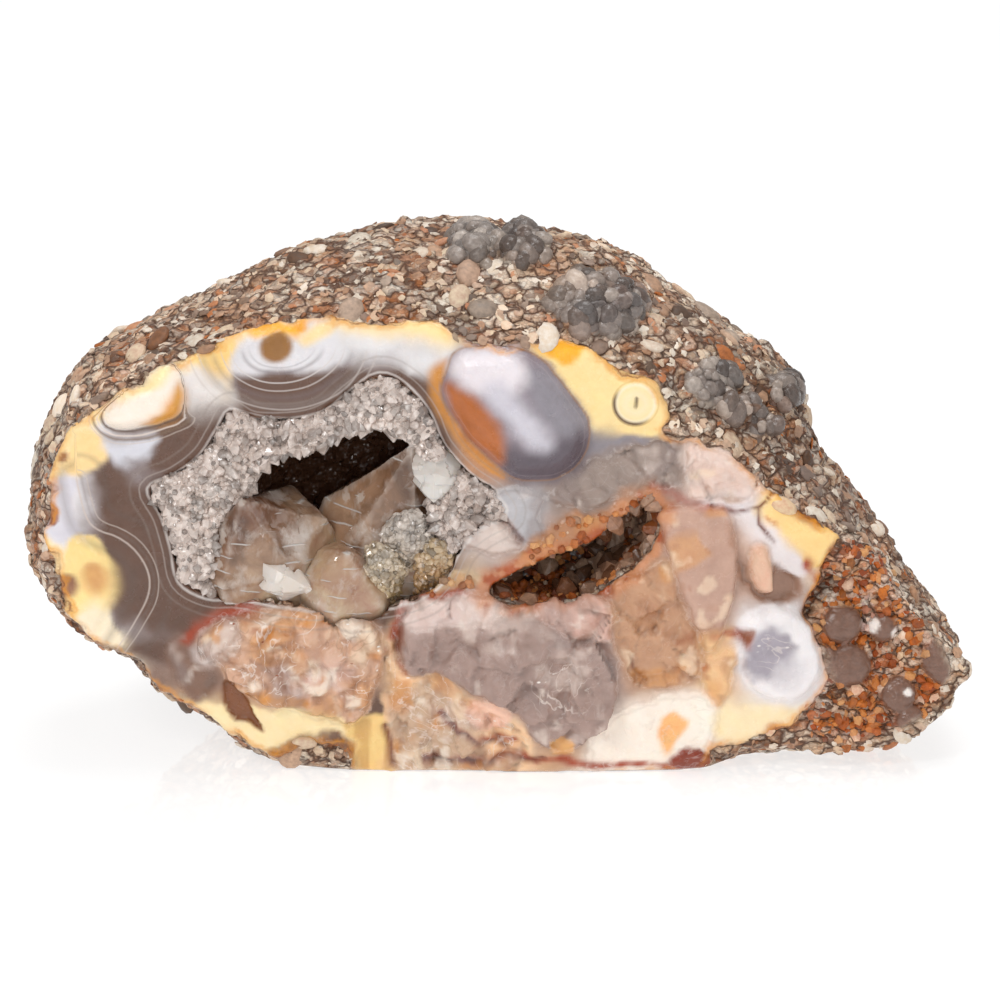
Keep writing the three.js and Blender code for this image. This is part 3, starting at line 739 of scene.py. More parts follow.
# %% Lift of the rind and its knobs
KNOBS = [  # centre u, seen height, reach across, reach up, height
    (-2.6, 55.4, 2.8, 2.2, 1.1), (2.3, 55.0, 2.6, 2.4, 1.1), (9.8, 48.9, 4.9, 3.4, 1.4),
    (24.3, 38.2, 2.6, 1.4, 0.9), (28.8, 40.3, 1.4, 1.8, 0.9), (21.5, 40.8, 2.6, 2.6, 0.6),
    (26.5, 36.4, 1.6, 1.2, 0.8),
]
_, crumb_gap, crumb_number, _ = grains(skin + wobble[:, [0, 0, 1]] * 0.5, 2.2, 70)
_, pebble_gap, pebble_number, _ = grains(skin, 1.25, 71)
rind_lift = 0.45 * smooth_step(0, 0.9, crumb_gap) * (0.3 + crumb_number)
rind_lift += 0.2 * smooth_step(0, 0.5, pebble_gap)
rind_lift += 0.45 * cloud(skin, 8, 72) - 0.35
front_half = (skin[:, 1] < FRONT_DEPTH).astype(float)
knobs = np.zeros(len(skin))
for u, v, across, up, height in KNOBS:
    r2 = ((spots[:, 0] - u) / across) ** 2 + ((spots[:, 1] - v) / up) ** 2
    dome = np.sqrt(np.clip(1 - r2, 0, 1)) * front_half
    knobs = np.maximum(knobs, dome)
    rind_lift += height * dome
_, bunch_gap, _, _ = grains(skin, 1.7, 73)
rind_lift += 0.5 * knobs * smooth_step(0, 0.7, bunch_gap)
print("knobs on the rind:", len(KNOBS))

# %% Lift of the rusty tail
TAIL_NODULES = [  # centre u, seen height, radius
    (34.5, 15.6, 2.1), (35.2, 11.2, 2.3), (38.6, 15.2, 1.5), (40.2, 8.2, 1.9), (45.2, 11.8, 2.7),
    (41.4, 5.6, 1.5), (32.6, 12.2, 1.2),
]
TAIL_PIT = [(31.4, 16.8), (32.6, 18.6), (33.6, 19.8)]
tail_lift = 0.7 * smooth_step(0, 0.8, crumb_gap) * (0.2 + crumb_number)
tail_lift += 0.3 * smooth_step(0, 0.5, pebble_gap)
tail_lift += 0.6 * cloud(skin, 4, 74) - 0.5
tail_knobs = np.zeros(len(skin))
for u, v, radius in TAIL_NODULES:
    r2 = ((spots[:, 0] - u) ** 2 + (spots[:, 1] - v) ** 2) / radius ** 2
    dome = np.sqrt(np.clip(1 - r2, 0, 1)) * (skin[:, 1] < 9)
    tail_knobs = np.maximum(tail_knobs, dome)
tail_lift = tail_lift * (1 - smooth_step(0, 0.3, tail_knobs)) + 1.3 * tail_knobs
tail_pit = np.exp(-(line_away(spots, TAIL_PIT) / 0.8) ** 2)
tail_lift -= 1.5 * tail_pit
print("nodules in the tail:", len(TAIL_NODULES))

# %% Slot, foot, and the whole relief
slot_lift = in_slot * (0.5 * smooth_step(0, 0.8, pebble_gap) - 0.2)
total_lift = face_lift + rind * rind_lift + tail * tail_lift + slot_lift
FOOT_BAND = 1.2
standing = smooth_step(0.05, FOOT_BAND, skin[:, 2])
hidden = (druse_by > 0.3) & (skin[:, 1] > 0.8) & (skin[:, 1] < BACK_OF_HOLLOW)
total_lift = np.where(hidden, 0, total_lift) * standing
moved = skin + facing * total_lift[:, None]
moved[:, 2] = np.maximum(moved[:, 2], 0.0)
stone.data.vertices.foreach_set("co", to_metres(moved).ravel())
stone.data.update()
print("lift of the skin in mm:", total_lift.min().round(2), "to", total_lift.max().round(2))

# %% [markdown]
# ## Colour of the stone
# The colours come from iron and water that crept in through the rind: cream and orange under it, then
# white, then clear grey chalcedony. They are mixed point by point into one colour layer. Thin agate
# bands need sharper lines than the mesh has points, so each family of bands is stored as a smooth
# distance, and the material draws its lines from that.

# %% Shades and brushes
BASE_AGATE = "a08f87"
WALL_AGATE = "5d4438"
RIND_SHADES = ["a98f7c", "543a2b", "f3e3d2", "857468", "a0683c", "a88c79"]
TAIL_SHADES = ["b0603a", "bd6a48", "83401f", "d09058", "93492a", "6f4f41"]
SLOT_SHADES = ["6a3a22", "8f5a3e", "4e2815", "a5694a", "3f1b07"]
GREY_ZONES = ("tan_ground", "chalcedony", "worn_quartz", "mass_grey", "lilac_hump", "grey_fold",
              "dark_bay", "pink_top", "small_mass")
WARM_ZONES = ("tan_ground", "tan_crust", "small_mass", "olive_crumbs", "brown_window", "pink_plate",
              "pink_top", "rusty_lip")
CREAM_ZONES = ("cream_far_right", "cream_base", "tan_crust")
FOLDED_ZONES = ("small_mass", "tan_ground", "olive_crumbs")
STAINED_ZONES = ("small_mass", "tan_ground", "tan_crust")


def paint(colours, amount, hex_code):
    """Lays a colour over the layer, as strongly as amount says."""
    amount = np.clip(amount, 0, 1)[:, None]
    return colours * (1 - amount) + np.array(linear(hex_code, alpha=False)) * amount


def pick(number, shades):
    """One shade for each grain number."""
    table = np.array([linear(s, alpha=False) for s in shades])
    return table[(number * len(shades)).astype(int) % len(shades)]


print("shades of the rind and the tail:", len(RIND_SHADES), "and", len(TAIL_SHADES))

# %% Ground colours of the face
face_colours = np.tile(np.array(linear(BASE_AGATE, alpha=False)), (len(skin), 1))
left_half = smooth_step(-2, -6, spots[:, 0]) * smooth_step(11.5, 14, spots[:, 1] + 0.3 * (spots[:, 0] + 40))
face_colours = paint(face_colours, left_half, WALL_AGATE)
border = agate_by + 0.8 * wobble[:, 1]
border_side = smooth_step(-3, -7, spots[:, 0]) * smooth_step(13, 17, spots[:, 1])
face_colours = paint(face_colours, border_side * (1 - smooth_step(2.6, 5.6, border)), "c9c3c4")
face_colours = paint(face_colours, border_side * (1 - smooth_step(1.6, 3.2, border)), "e9e4e4")
face_colours = paint(face_colours, border_side * (1 - smooth_step(0.8, 2.0, border)), "fce3b8")
print("agate ground painted")

# %% Colours of the zones
ALWAYS_CRISP = ("great", "eye", "nodule", "crown")
between = np.zeros((len(skin), 3))
weights = np.full(len(skin), 1e-6)
for name in ZONES:
    weight = np.exp(zone_by[name] / 0.8) * (zone_by[name] > -3.9)
    between += weight[:, None] * np.array(linear(ZONES[name][0], alpha=False))
    weights += weight
fill = (1 - left_half) * (1 - border_side) * smooth_step(0, 0.02, weights)
fill = 0.85 * fill[:, None]
face_colours = face_colours * (1 - fill) + fill * between / weights[:, None]
softness = 0.5 + 2.0 * smooth_step(-0.3, 0.5, cloud(skin, 5.0, 96, 2))
for name, (shade, soft, wander, _) in ZONES.items():
    blur = soft * (1.0 if name.startswith(ALWAYS_CRISP) else softness)
    face_colours = paint(face_colours, smooth_step(-blur, blur, zone_by[name]), shade)
print("zones painted:", len(ZONES))

# %% Rust along the cracks
RUST_STAINS = [  # half width, line
    (0.6, [(-31.6, 13.4), (-30.6, 15.3), (-28.8, 16.8), (-26.4, 17.4), (-24.6, 17.5)]),
    (0.5, [(-10.8, 14.4), (-10.2, 15.6), (-9.6, 17.4), (-7.6, 18.9), (-4.0, 19.2)]),
    (0.4, [(-5.8, 6.4), (-4.4, 4.6), (-2.4, 3.5), (1.4, 3.0)]),
    (0.35, [(-10.3, 12.0), (-9.8, 10.9)]),
    (0.5, [(15.4, 29.8), (17.6, 29.2), (20, 28.3), (22.4, 27.6)]),
    (0.5, [(31.0, 22.2), (32.0, 21.0), (33.0, 19.6)]),
    (0.5, [(27.6, 4.6), (29.4, 4.4), (31.4, 4.6)]),
    (0.35, [(-7.5, 1.5), (-3.5, 1.0), (0.0, 1.7), (4.5, 1.4), (9, 0.8), (17.5, 0.6)]),
    (0.4, [(21.6, 14.6), (23.0, 14.9), (24.8, 14.2)]),
]
ragged = smooth_step(-0.45, 0.1, cloud(skin, 1.6, 97, 3))
for half_width, line in RUST_STAINS:
    away = line_away(spots + wobble * 0.8, line) - 0.25 * cloud(skin, 1.2, 109, 2)
    stain = np.exp(-(np.maximum(away, 0) / half_width) ** 2)
    face_colours = paint(face_colours, stain * (0.5 + 0.5 * ragged), "963f1e")
RUSTY_SPOTS = [  # centre u, seen height, radius
    (31.2, 26.7, 1.3), (33.7, 23.3, 1.0), (30.6, 4.9, 0.9), (24.6, 14.6, 0.8), (-43.9, 33.0, 0.6),
]
for u, v, radius in RUSTY_SPOTS:
    away = np.linalg.norm(spots + wobble * 0.9 - (u, v), axis=1)
    face_colours = paint(face_colours, 0.85 * (1 - smooth_step(radius * 0.5, radius * 1.2, away)), "7e4322")
streaks = smooth_step(0.0, 0.3, cloud(skin * (2.6, 1.0, 0.35), 3.0, 110, 2))
streaks *= smooth_step(0, 0.6, zone_by["yellow_strip"])
face_colours = paint(face_colours, 0.45 * streaks, "a3702c")
in_crack = (0.4 + 0.5 * ragged) * np.exp(-(crack_by * 0.8) ** 2)
face_colours = paint(face_colours, in_crack, "6b2d18")
print("rust stains:", len(RUST_STAINS), "lines and", len(RUSTY_SPOTS), "spots")

# %% Stains inside the zones
STAINS = [  # zones, colour, strength, blob size in mm, threshold, salt
    (GREY_ZONES, "8d7f7b", 0.5, 5.5, 0.05, 84), (GREY_ZONES, "e4d4cb", 0.45, 3.6, 0.12, 85),
    (GREY_ZONES, "7a675e", 0.45, 2.6, 0.25, 88), (GREY_ZONES, "f3e6dc", 0.5, 1.9, 0.3, 87),
    (WARM_ZONES, "d19a68", 0.5, 4.6, 0.1, 86), (WARM_ZONES, "a3765c", 0.5, 3.0, 0.2, 89),
    (FOLDED_ZONES, "c58340", 0.6, 2.6, 0.16, 111),
    (STAINED_ZONES, "8a6450", 0.6, 1.7, 0.26, 112),
    (FOLDED_ZONES[:2], "fdf1e2", 0.6, 1.9, 0.2, 113),
    (WARM_ZONES, "f8e3cb", 0.5, 2.1, 0.22, 91), (WARM_ZONES, "8c4a2a", 0.5, 1.6, 0.42, 92),
]
for names, shade, strength, size, threshold, salt in STAINS:
    there = zones_together(names, 0, 0.8) * (1 - smooth_agate)
    blob = smooth_step(threshold, threshold + 0.22, cloud(skin + wobble[:, [0, 1, 1]], size, salt, 3))
    face_colours = paint(face_colours, strength * blob * there, shade)
print("kinds of stain:", len(STAINS))

# %% Rusty fringe of the slot, and the orange rim
slot_by = inside_by(spots, SLOT)
fringe = smooth_step(-1.7, -0.3, slot_by + 1.3 * cloud(skin, 1.7, 98, 3)) * (1 - lumpy)
face_colours = paint(face_colours, 0.75 * fringe, "c98d6a")
rusty_fringe = 0.85 * fringe * smooth_step(0.0, 0.25, cloud(skin, 1.4, 99, 3))
face_colours = paint(face_colours, rusty_fringe, "9c4a26")
creamy = zones_together(CREAM_ZONES, 0, 0.6)
rust_in_cream = 0.8 * creamy * smooth_step(0.3, 0.45, cloud(skin, 2.2, 107, 3))
face_colours = paint(face_colours, rust_in_cream, "b3672f")
rim = np.exp(-((agate_by - 0.15) / 0.4) ** 2) * smooth_step(-0.35, 0.25, cloud(skin, 2.0, 93, 3))
face_colours = paint(face_colours, 0.5 * rim * (1 - smooth_agate), "d9924c")
soft = 0.06 * cloud(skin, 5.0, 80, 3) + 0.07 * cloud(skin, 1.4, 83, 3) * (1 - smooth_agate)
face_colours *= 1 + soft[:, None]
# Painted shade: the small mass is darkened in the gaps between its lumps.
lump_gap_shade = lumpy * (1 - smooth_step(0, 0.5, knob_gap))
face_colours = paint(face_colours, 0.4 * lump_gap_shade, "a07a66")
print("mean colour of the face, in linear light:", face_colours[face > 0.5].mean(axis=0).round(3))

# %% Colours of the rind
RIND_PATCHES = [  # colour, strength, centre u, seen height, across, up
    ("f2e4d5", 0.85, -0.5, 49.0, 6.5, 4.2), ("cfbfae", 0.6, 4.5, 52.5, 5.5, 3.0),
    ("a9a19b", 0.9, -2.8, 55.4, 3.0, 2.4), ("54453f", 0.9, 2.4, 55.0, 2.8, 2.5),
    ("6f6c6c", 0.9, 9.8, 48.9, 5.0, 3.4), ("c3b6ac", 0.8, 19.5, 42.0, 3.6, 3.6),
    ("d8b8a4", 0.8, 24.0, 38.4, 3.2, 1.5), ("6b6562", 0.8, 28.8, 40.3, 1.6, 2.0),
    ("4b362b", 0.85, 30.5, 37.0, 10, 9), ("5d4638", 0.7, 38.0, 28.0, 6, 6),
    ("dcc4b4", 0.7, -45.5, 25.0, 1.5, 7.0), ("f0d8c6", 0.7, -36, 40.5, 8, 4.5),
    ("dcc2ae", 0.6, -24, 50, 8, 3), ("d8bca8", 0.6, 6, 51.5, 6, 2.6),
    ("8a4a26", 0.85, 30.6, 27.4, 1.6, 1.6),
]
rind_colours = pick(crumb_number, RIND_SHADES) * 0.6 + pick(pebble_number, RIND_SHADES) * 0.4
for shade, strength, u, v, across, up in RIND_PATCHES:
    r2 = ((spots[:, 0] - u) / across) ** 2 + ((spots[:, 1] - v) / up) ** 2
    rind_colours = paint(rind_colours, strength * np.exp(-r2 ** 2) * front_half, shade)
rind_colours = paint(rind_colours, 0.8 * smooth_step(0.0, 0.3, cloud(skin, 9, 81)), "f8e6d3")
rind_colours = paint(rind_colours, 0.7 * smooth_step(0.05, 0.35, cloud(skin, 8, 82)), "57402f")
rind_colours = paint(rind_colours, 0.6 * smooth_step(0.15, 0.4, cloud(skin, 6, 108)), "a9652f")
rind_colours = paint(rind_colours, 0.5 * smooth_step(0.12, 0.5, cloud(skin, 5, 94)), "8b8583")
# Painted shade: the rind is darkened in the crevices between its crumbs and pebbles.
crevice_shade = 1 - smooth_step(0, 0.35, np.minimum(crumb_gap, pebble_gap * 1.5))
rind_colours = paint(rind_colours, 0.6 * crevice_shade, "3b2517")
# Painted shade: the knobs are darkened in the gaps between their bunched lumps.
knob_gap_shade = smooth_step(0.05, 0.3, knobs) * (1 - smooth_step(0.0, 0.45, bunch_gap))
rind_colours = paint(rind_colours, 0.75 * knob_gap_shade, "362e2b")
print("patches on the rind:", len(RIND_PATCHES))

# %% Colours of the tail and the slot
tail_colours = pick(crumb_number, TAIL_SHADES) * 0.5 + pick(pebble_number, TAIL_SHADES) * 0.5
tail_colours = paint(tail_colours, 0.5 * smooth_step(0.1, 0.5, cloud(skin, 3, 95)), "c9763f")
tail_colours = paint(tail_colours, smooth_step(0, 0.3, tail_knobs), "755a4e")
# Painted shade: the sunken pit is painted nearly black.
tail_colours = paint(tail_colours, tail_pit, "1d0f08")
WHITE_SPOTS = [  # centre u, seen height, radius
    (37.2, 17.8, 0.7), (37.4, 15.6, 1.0), (40.2, 14.6, 0.7), (26.5, 5.2, 0.9), (41.0, 8.4, 0.5),
]
for u, v, radius in WHITE_SPOTS:
    away = np.linalg.norm(spots + wobble * 0.3 - (u, v), axis=1)
    tail_colours = paint(tail_colours, 1 - smooth_step(radius * 0.7, radius * 1.1, away), "f4ece6")
# Painted shade: the slot is darkened the deeper it goes into the stone.
slot_depth_shade = smooth_step(1.5, 6.5, skin[:, 1])[:, None]
slot_colours = pick(pebble_number, SLOT_SHADES) * (1 - 0.85 * slot_depth_shade)

# %% One colour layer for the whole stone
tint = face_colours * face[:, None] + rind_colours * (1 - face)[:, None]
tint = tint * (1 - tail)[:, None] + tail_colours * tail[:, None]
tint = np.where(in_slot[:, None], slot_colours, tint)
# Painted shade: the stone behind the lining, deep in the hollow, is painted nearly black.
hollow_shade = (druse_by > -0.2) & (skin[:, 1] > 1.5) & (skin[:, 1] < BACK_OF_HOLLOW)
tint = np.where(hollow_shade[:, None], np.array(linear("2a1d17", alpha=False)), tint)


def store_colour(mesh, name, colours):
    layer = mesh.attributes.new(name, "FLOAT_COLOR", "POINT")
    rgba = np.concatenate([np.clip(colours, 0, 1), np.ones((len(colours), 1))], axis=1)
    layer.data.foreach_set("color", rgba.ravel())


def store_field(mesh, name, values):
    layer = mesh.attributes.new(name, "FLOAT", "POINT")
    layer.data.foreach_set("value", np.asarray(values, float).ravel())


store_colour(stone.data, "tint", tint)
is_face = np.clip(face * (1 - tail), 0, 1) * ~in_slot
store_field(stone.data, "face", is_face)
print("colour layer stored for", len(tint), "points")

# %% Distances for the agate bands
WALL_LINE = [
    (-42.0, 31.0), (-41.6, 27.5), (-40.6, 25.6), (-37.6, 24.4), (-35.6, 21.6), (-35.2, 19.2),
    (-36.4, 16.0), (-39, 12),
]


def side_of(at, line):
    """Distance to an open line, negative on its left."""
    p = np.asarray(line, float)
    best = np.full(len(at), 1e9)
    side = np.ones(len(at))
    for a, b in zip(p[:-1], p[1:]):
        along = b - a
        t = np.clip(((at - a) @ along) / (along @ along), 0, 1)
        away = np.linalg.norm(at - a - t[:, None] * along, axis=1)
        turn = along[0] * (at[:, 1] - a[1]) - along[1] * (at[:, 0] - a[0])
        side = np.where(away < best, np.where(turn > 0, 1.0, -1.0), side)
        best = np.minimum(best, away)
    return best * side


gentle = np.stack([cloud(skin, 6, 90, 2), cloud(skin, 6, 91, 2)], axis=1) * 0.5
wall_curve = np.asarray(WALL_LINE, float)
for _ in range(2):
    first, last = wall_curve[:-1], wall_curve[1:]
    cut = np.stack([0.75 * first + 0.25 * last, 0.25 * first + 0.75 * last], axis=1)
    wall_curve = np.concatenate([wall_curve[:1], cut.reshape(-1, 2), wall_curve[-1:]])
wall_mask = (1 - smooth_step(-34, -32, spots[:, 0])) * face
store_field(stone.data, "wall_bands", np.where(wall_mask > 0.3, side_of(spots + gentle, wall_curve), FAR))
crown = np.hypot((spots[:, 0] + 21.6 + gentle[:, 0]) / 1.25, spots[:, 1] - 44.8 + gentle[:, 1])
crown_mask = (spots[:, 0] < -12) & (spots[:, 0] > -31) & (spots[:, 1] < 45.5)
store_field(stone.data, "crown_bands", np.where(crown_mask & (face > 0.3), crown, FAR_RING))
store_field(stone.data, "crown_there", 1 - smooth_step(42.6, 44.9, spots[:, 1]))
print("wall line and crown rings stored")

# %% Distances for the small eye, the nodule and the great eye
SMALL_EYE = (13.5, 38.6)
small_eye = np.linalg.norm(spots - SMALL_EYE, axis=1)
store_field(stone.data, "eye_rings", np.where(face > 0.3, small_eye, FAR_RING))
down_left = (SMALL_EYE - spots).sum(axis=1) / (1.41 * small_eye + 0.01)
eye_low_left = smooth_step(-0.1, 0.7, down_left)
store_field(stone.data, "eye_side", eye_low_left)
eye_dash = line_away(spots, [(13.5, 38.2), (13.6, 39.1)])
store_field(stone.data, "eye_dash", np.where(face > 0.3, eye_dash, FAR_RING))
store_field(stone.data, "druse_by", np.where(face > 0.3, druse_by + 0.4 * gentle[:, 0], -FAR))
above = 1 + 8 * smooth_step(37.0, 39.5, spots[:, 1])
nodule_by = np.where(zone_by["nodule"] < 0, zone_by["nodule"] * above, zone_by["nodule"])
store_field(stone.data, "nodule_by", np.where(face > 0.3, nodule_by, -FAR))
store_field(stone.data, "great_eye_by", np.where(face > 0.3, zone_by["great_eye"], -FAR))
print("eye rings stored")

# %% Edges of facets, bare quartz and folded sheets
EDGE_ZONES = (
    "chalcedony", "pink_facet", "brown_window", "pink_plate", "pink_top", "worn_quartz", "grey_fold",
    "lilac_hump", "chalcedony_lit", "cream_stick", "tan_crust", "mass_grey", "white_base", "small_mass",
)
facet_edge = np.min([np.abs(zone_by[n] - 0.1) for n in EDGE_ZONES], axis=0)
store_field(stone.data, "agate_by", np.where(looks_out > 0.2, agate_by + 0.5 * fine_wobble[:, 0], -FAR))
bare = smooth_step(0.05, 0.35, knobs) * rind + smooth_step(0.02, 0.2, tail_knobs) * tail + in_slot
store_field(stone.data, "bare", np.clip(bare, 0, 1))
store_field(stone.data, "facet_edge", np.where(face > 0.3, facet_edge, FAR))
FOLD_SHARES = {
    "small_mass": 1.0, "tan_ground": 0.75, "worn_quartz": 0.12, "chalcedony": 0.15,
    "lobe_shade": 0.6, "brown_window": 0.12, "white_base": 0.4, "mass_grey": 0.8,
    "olive_crumbs": 0.7, "pink_top": 0.2,
}
folds = np.clip(sum(share * smooth_step(0, 0.8, zone_by[n]) for n, share in FOLD_SHARES.items()), 0, 1)
fold_patch = 1 - smooth_step(2.0, 3.6, np.hypot(spots[:, 0] - 6.0, spots[:, 1] - 9.0))
folds = np.maximum(folds, fold_patch) * is_face
store_field(stone.data, "folds", folds)
print("share of the face with folds:", folds[is_face > 0.5].mean().round(2))

# %% Where crumbs, knobs and small crystals may stand
knob_bare = 1 - smooth_step(0.05, 0.4, knobs)
off_face = (skin[:, 2] > 0.8) & ~hidden & (agate_by < 0.2)
rind_cover = rind * knob_bare * off_face * (1 - tail)
FLAKE_SHARE = 0.55
tail_cover = tail * (1 - smooth_step(0, 0.15, tail_knobs)) * (1 - 0.8 * tail_pit) * off_face * 0.75
lip_cover = 0.5 * smooth_step(0.2, 0.8, zone_by["rusty_lip"]) * face
slot_cover = np.clip(in_slot * (facing[:, 2] > -0.3) + lip_cover, 0, 1)
slot_cover += 0.35 * smooth_step(0, 0.6, zone_by["olive_crumbs"]) * face
slot_block_cover = in_slot * (0.25 + 0.75 * smooth_step(8.0, 10.5, skin[:, 0]))
knob_cover = smooth_step(0.05, 0.35, knobs) * rind * off_face * (1 - tail)
store_field(stone.data, "grain_cover", rind_cover)
layers = [layer.name for layer in stone.data.attributes if not layer.name.startswith(".")]
print("colour and band layers:", layers)

# %% [markdown]
# ## Finish of the stone
# One material serves the whole stone, because the agate grades into the rind. On the face it is a
# polished-looking, slightly see-through chalcedony with thin bands and pale veils. On the rind it is
# dull, and made of cream and tan flakes with brown seams between them. The face layer tells it which of
# the two a place is.

# %% Pattern helpers


def band(tree, distance, place, half_width):
    """1 on a line at this distance, fading to 0 at half_width from it."""
    off = math_node(tree, "ABSOLUTE", math_node(tree, "SUBTRACT", distance, place))
    return math_node(tree, "SUBTRACT", 1.0, math_node(tree, "DIVIDE", off, half_width), clamp=True)


def contours(tree, size_mm, count, half_width, distortion, detail=3):
    """Nested wavy lines, like folded sheets of agate seen on edge."""
    field = object_noise(tree, size_mm, detail=detail, roughness=0.45, distortion=distortion)
    phase = math_node(tree, "FRACT", math_node(tree, "MULTIPLY", field, count))
    return band(tree, phase, 0.5, half_width)


def product(tree, *factors):
    result = factors[0]
    for factor in factors[1:]:
        result = math_node(tree, "MULTIPLY", result, factor)
    return result


def flakes(tree, size_mm, warp_mm, feature="F1"):
    """Cells of a Voronoi pattern, bent by noise and wider than they are tall."""
    place = wire(tree, "ShaderNodeTexCoord").outputs["Object"]
    bend_inputs = {"Vector": place, "Scale": 1000 / (size_mm * 1.5), "Detail": 3.0}
    bend = wire(tree, "ShaderNodeTexNoise", bend_inputs).outputs[1]
    push = wire(tree, "ShaderNodeVectorMath", {0: bend, "Scale": warp_mm * MM}, operation="SCALE")
    bent = wire(tree, "ShaderNodeVectorMath", {0: place, 1: push.outputs[0]}, operation="ADD").outputs[0]
    squashed = wire(tree, "ShaderNodeMapping", {0: bent, 3: (0.75, 1.0, 1.45)}).outputs[0]
    cells = {"Vector": squashed, "Scale": 1000 / size_mm}
    return wire(tree, "ShaderNodeTexVoronoi", cells, feature=feature)


def cell_distance(tree, size_mm):
    """Distance to the nearest centre of a plain Voronoi pattern."""
    cells = {"Vector": wire(tree, "ShaderNodeTexCoord").outputs["Object"], "Scale": 1000 / size_mm}
    return wire(tree, "ShaderNodeTexVoronoi", cells).outputs["Distance"]


def centred_noise(tree, size_mm, detail, strength):
    """Noise that goes as far below nothing as above it."""
    noise = object_noise(tree, size_mm, detail=detail)
    return math_node(tree, "MULTIPLY", math_node(tree, "SUBTRACT", noise, 0.5), strength)


# %% Stone material: ground colour of the face
stone_material, tree, surface = new_material("agate_and_rind")
colour = attribute(tree, "tint", "Color")
border_noise = centred_noise(tree, 0.7, 5, 0.9)
face_sum = math_node(tree, "ADD", attribute(tree, "face"), border_noise)
is_face_there = ramp(tree, face_sum, [(0.4, 0.0), (0.6, 1.0)])
rim_at = math_node(tree, "ADD", attribute(tree, "agate_by"), border_noise)
veiled_there = attribute(tree, "folds")
cloudy = object_noise(tree, 1.7, detail=7, roughness=0.62)
colour = mix_colour(tree, 0.3, colour, ramp(tree, cloudy, [(0.32, 0.36), (0.68, 0.66)]), "OVERLAY")
wall = attribute(tree, "wall_bands")
crown_at = attribute(tree, "crown_bands")
rings = attribute(tree, "eye_rings")
druse_at = attribute(tree, "druse_by")
nodule_at = attribute(tree, "nodule_by")
eye_at = attribute(tree, "great_eye_by")
edge_noise = centred_noise(tree, 0.9, 4, 0.9)
rim_there = ramp(tree, object_noise(tree, 2.4, detail=3), [(0.42, 0.15), (0.6, 1.0)])
edge_at = math_node(tree, "ADD", attribute(tree, "facet_edge"), edge_noise)
print("ground nodes:", len(tree.nodes))

# %% Stone material: agate bands
BAND_LINES = [  # distance, place, half width, strength, colour
    (wall, 0.0, 0.16, 0.75, "cfc2ba"), (wall, 1.0, 0.13, 0.6, "c4b8b0"),
    (wall, -1.6, 0.9, 0.35, "5d4e46"), (wall, 2.6, 0.5, 0.3, "5d4e46"),
    (wall, 0.5, 0.25, 0.3, "6b5c54"), (crown_at, 3.2, 0.3, 0.5, "6f6669"),
    (crown_at, 4.2, 0.12, 0.8, "d9d2cf"), (crown_at, 5.0, 0.12, 0.7, "cfc6c2"),
    (crown_at, 5.7, 0.5, 0.4, "75696a"), (crown_at, 6.6, 0.7, 0.4, "8b827e"),
    (crown_at, 6.9, 0.14, 0.55, "cdc4bf"), (crown_at, 7.7, 0.14, 0.45, "c9c0bb"),
    (crown_at, 2.6, 0.16, 0.4, "8f898c"), (druse_at, -0.35, 0.22, 0.75, "e3dcd8"),
    (druse_at, -1.1, 0.14, 0.45, "b6aca6"), (druse_at, -2.0, 0.2, 0.3, "8f837c"),
    (nodule_at, -0.2, 0.26, 0.9, "5f4a3d"), (nodule_at, -0.62, 0.14, 0.85, "e2d7cf"),
    (nodule_at, -1.0, 0.26, 0.75, "75604f"), (nodule_at, -1.4, 0.12, 0.5, "cfc2b8"),
    (rings, 2.3, 0.16, 0.35, "c9a06a"), (rings, 1.0, 1.1, 0.85, "fdeacb"),
    (rings, 1.9, 0.3, 0.7, "fff3e0"), (attribute(tree, "eye_dash"), 0.0, 0.3, 1.0, "2c1d16"),
    (eye_at, 0.08, 0.2, 0.5, "a0764e"), (eye_at, 0.7, 0.1, 0.1, "d8ccc8"),
    (edge_at, 0.05, 0.09, 0.18, "f5ebe4"), (edge_at, 0.3, 0.3, 0.14, "7d6152"),
]
for distance, place, half_width, strength, shade in BAND_LINES:
    amount = math_node(tree, "MULTIPLY", band(tree, distance, place, half_width), strength)
    if distance == crown_at:
        amount = math_node(tree, "MULTIPLY", amount, attribute(tree, "crown_there"))
    colour = mix_colour(tree, amount, colour, linear(shade))
eye_shadow = product(tree, band(tree, rings, 2.12, 0.3), attribute(tree, "eye_side"))
colour = mix_colour(tree, eye_shadow, colour, linear("4a3220"))
print("band lines:", len(BAND_LINES))

# %% Stone material: orange rim, folds and specks
rim_amount = math_node(tree, "MULTIPLY", band(tree, rim_at, 0.5, 0.55), rim_there)
colour = mix_colour(tree, math_node(tree, "MULTIPLY", rim_amount, 0.6), colour, linear("dc9a4e"))
rim_line = math_node(tree, "MULTIPLY", band(tree, rim_at, 0.1, 0.24), rim_there)
colour = mix_colour(tree, math_node(tree, "MULTIPLY", rim_line, 0.85), colour, linear("7b4826"))
patches = ramp(tree, object_noise(tree, 3.8, detail=3), [(0.46, 0.0), (0.56, 1.0)])
other_patches = ramp(tree, object_noise(tree, 3.1, detail=3, distortion=0.4), [(0.47, 0.0), (0.57, 1.0)])
veil_lines = product(tree, contours(tree, 7.0, 9.0, 0.075, 0.9, 4), veiled_there, patches)
fold_lines = product(tree, contours(tree, 4.0, 4.5, 0.06, 1.1, 4), veiled_there, other_patches)
dark_folds = product(tree, contours(tree, 5.0, 6.0, 0.16, 1.0, 4), veiled_there, other_patches)
colour = mix_colour(tree, math_node(tree, "MULTIPLY", dark_folds, 0.32), colour, linear("86634f"))
colour = mix_colour(tree, math_node(tree, "MULTIPLY", veil_lines, 0.62), colour, linear("f6ebe3"))
colour = mix_colour(tree, math_node(tree, "MULTIPLY", fold_lines, 0.62), colour, linear("f9f0ea"))
speck = flakes(tree, 1.1, 0.3)
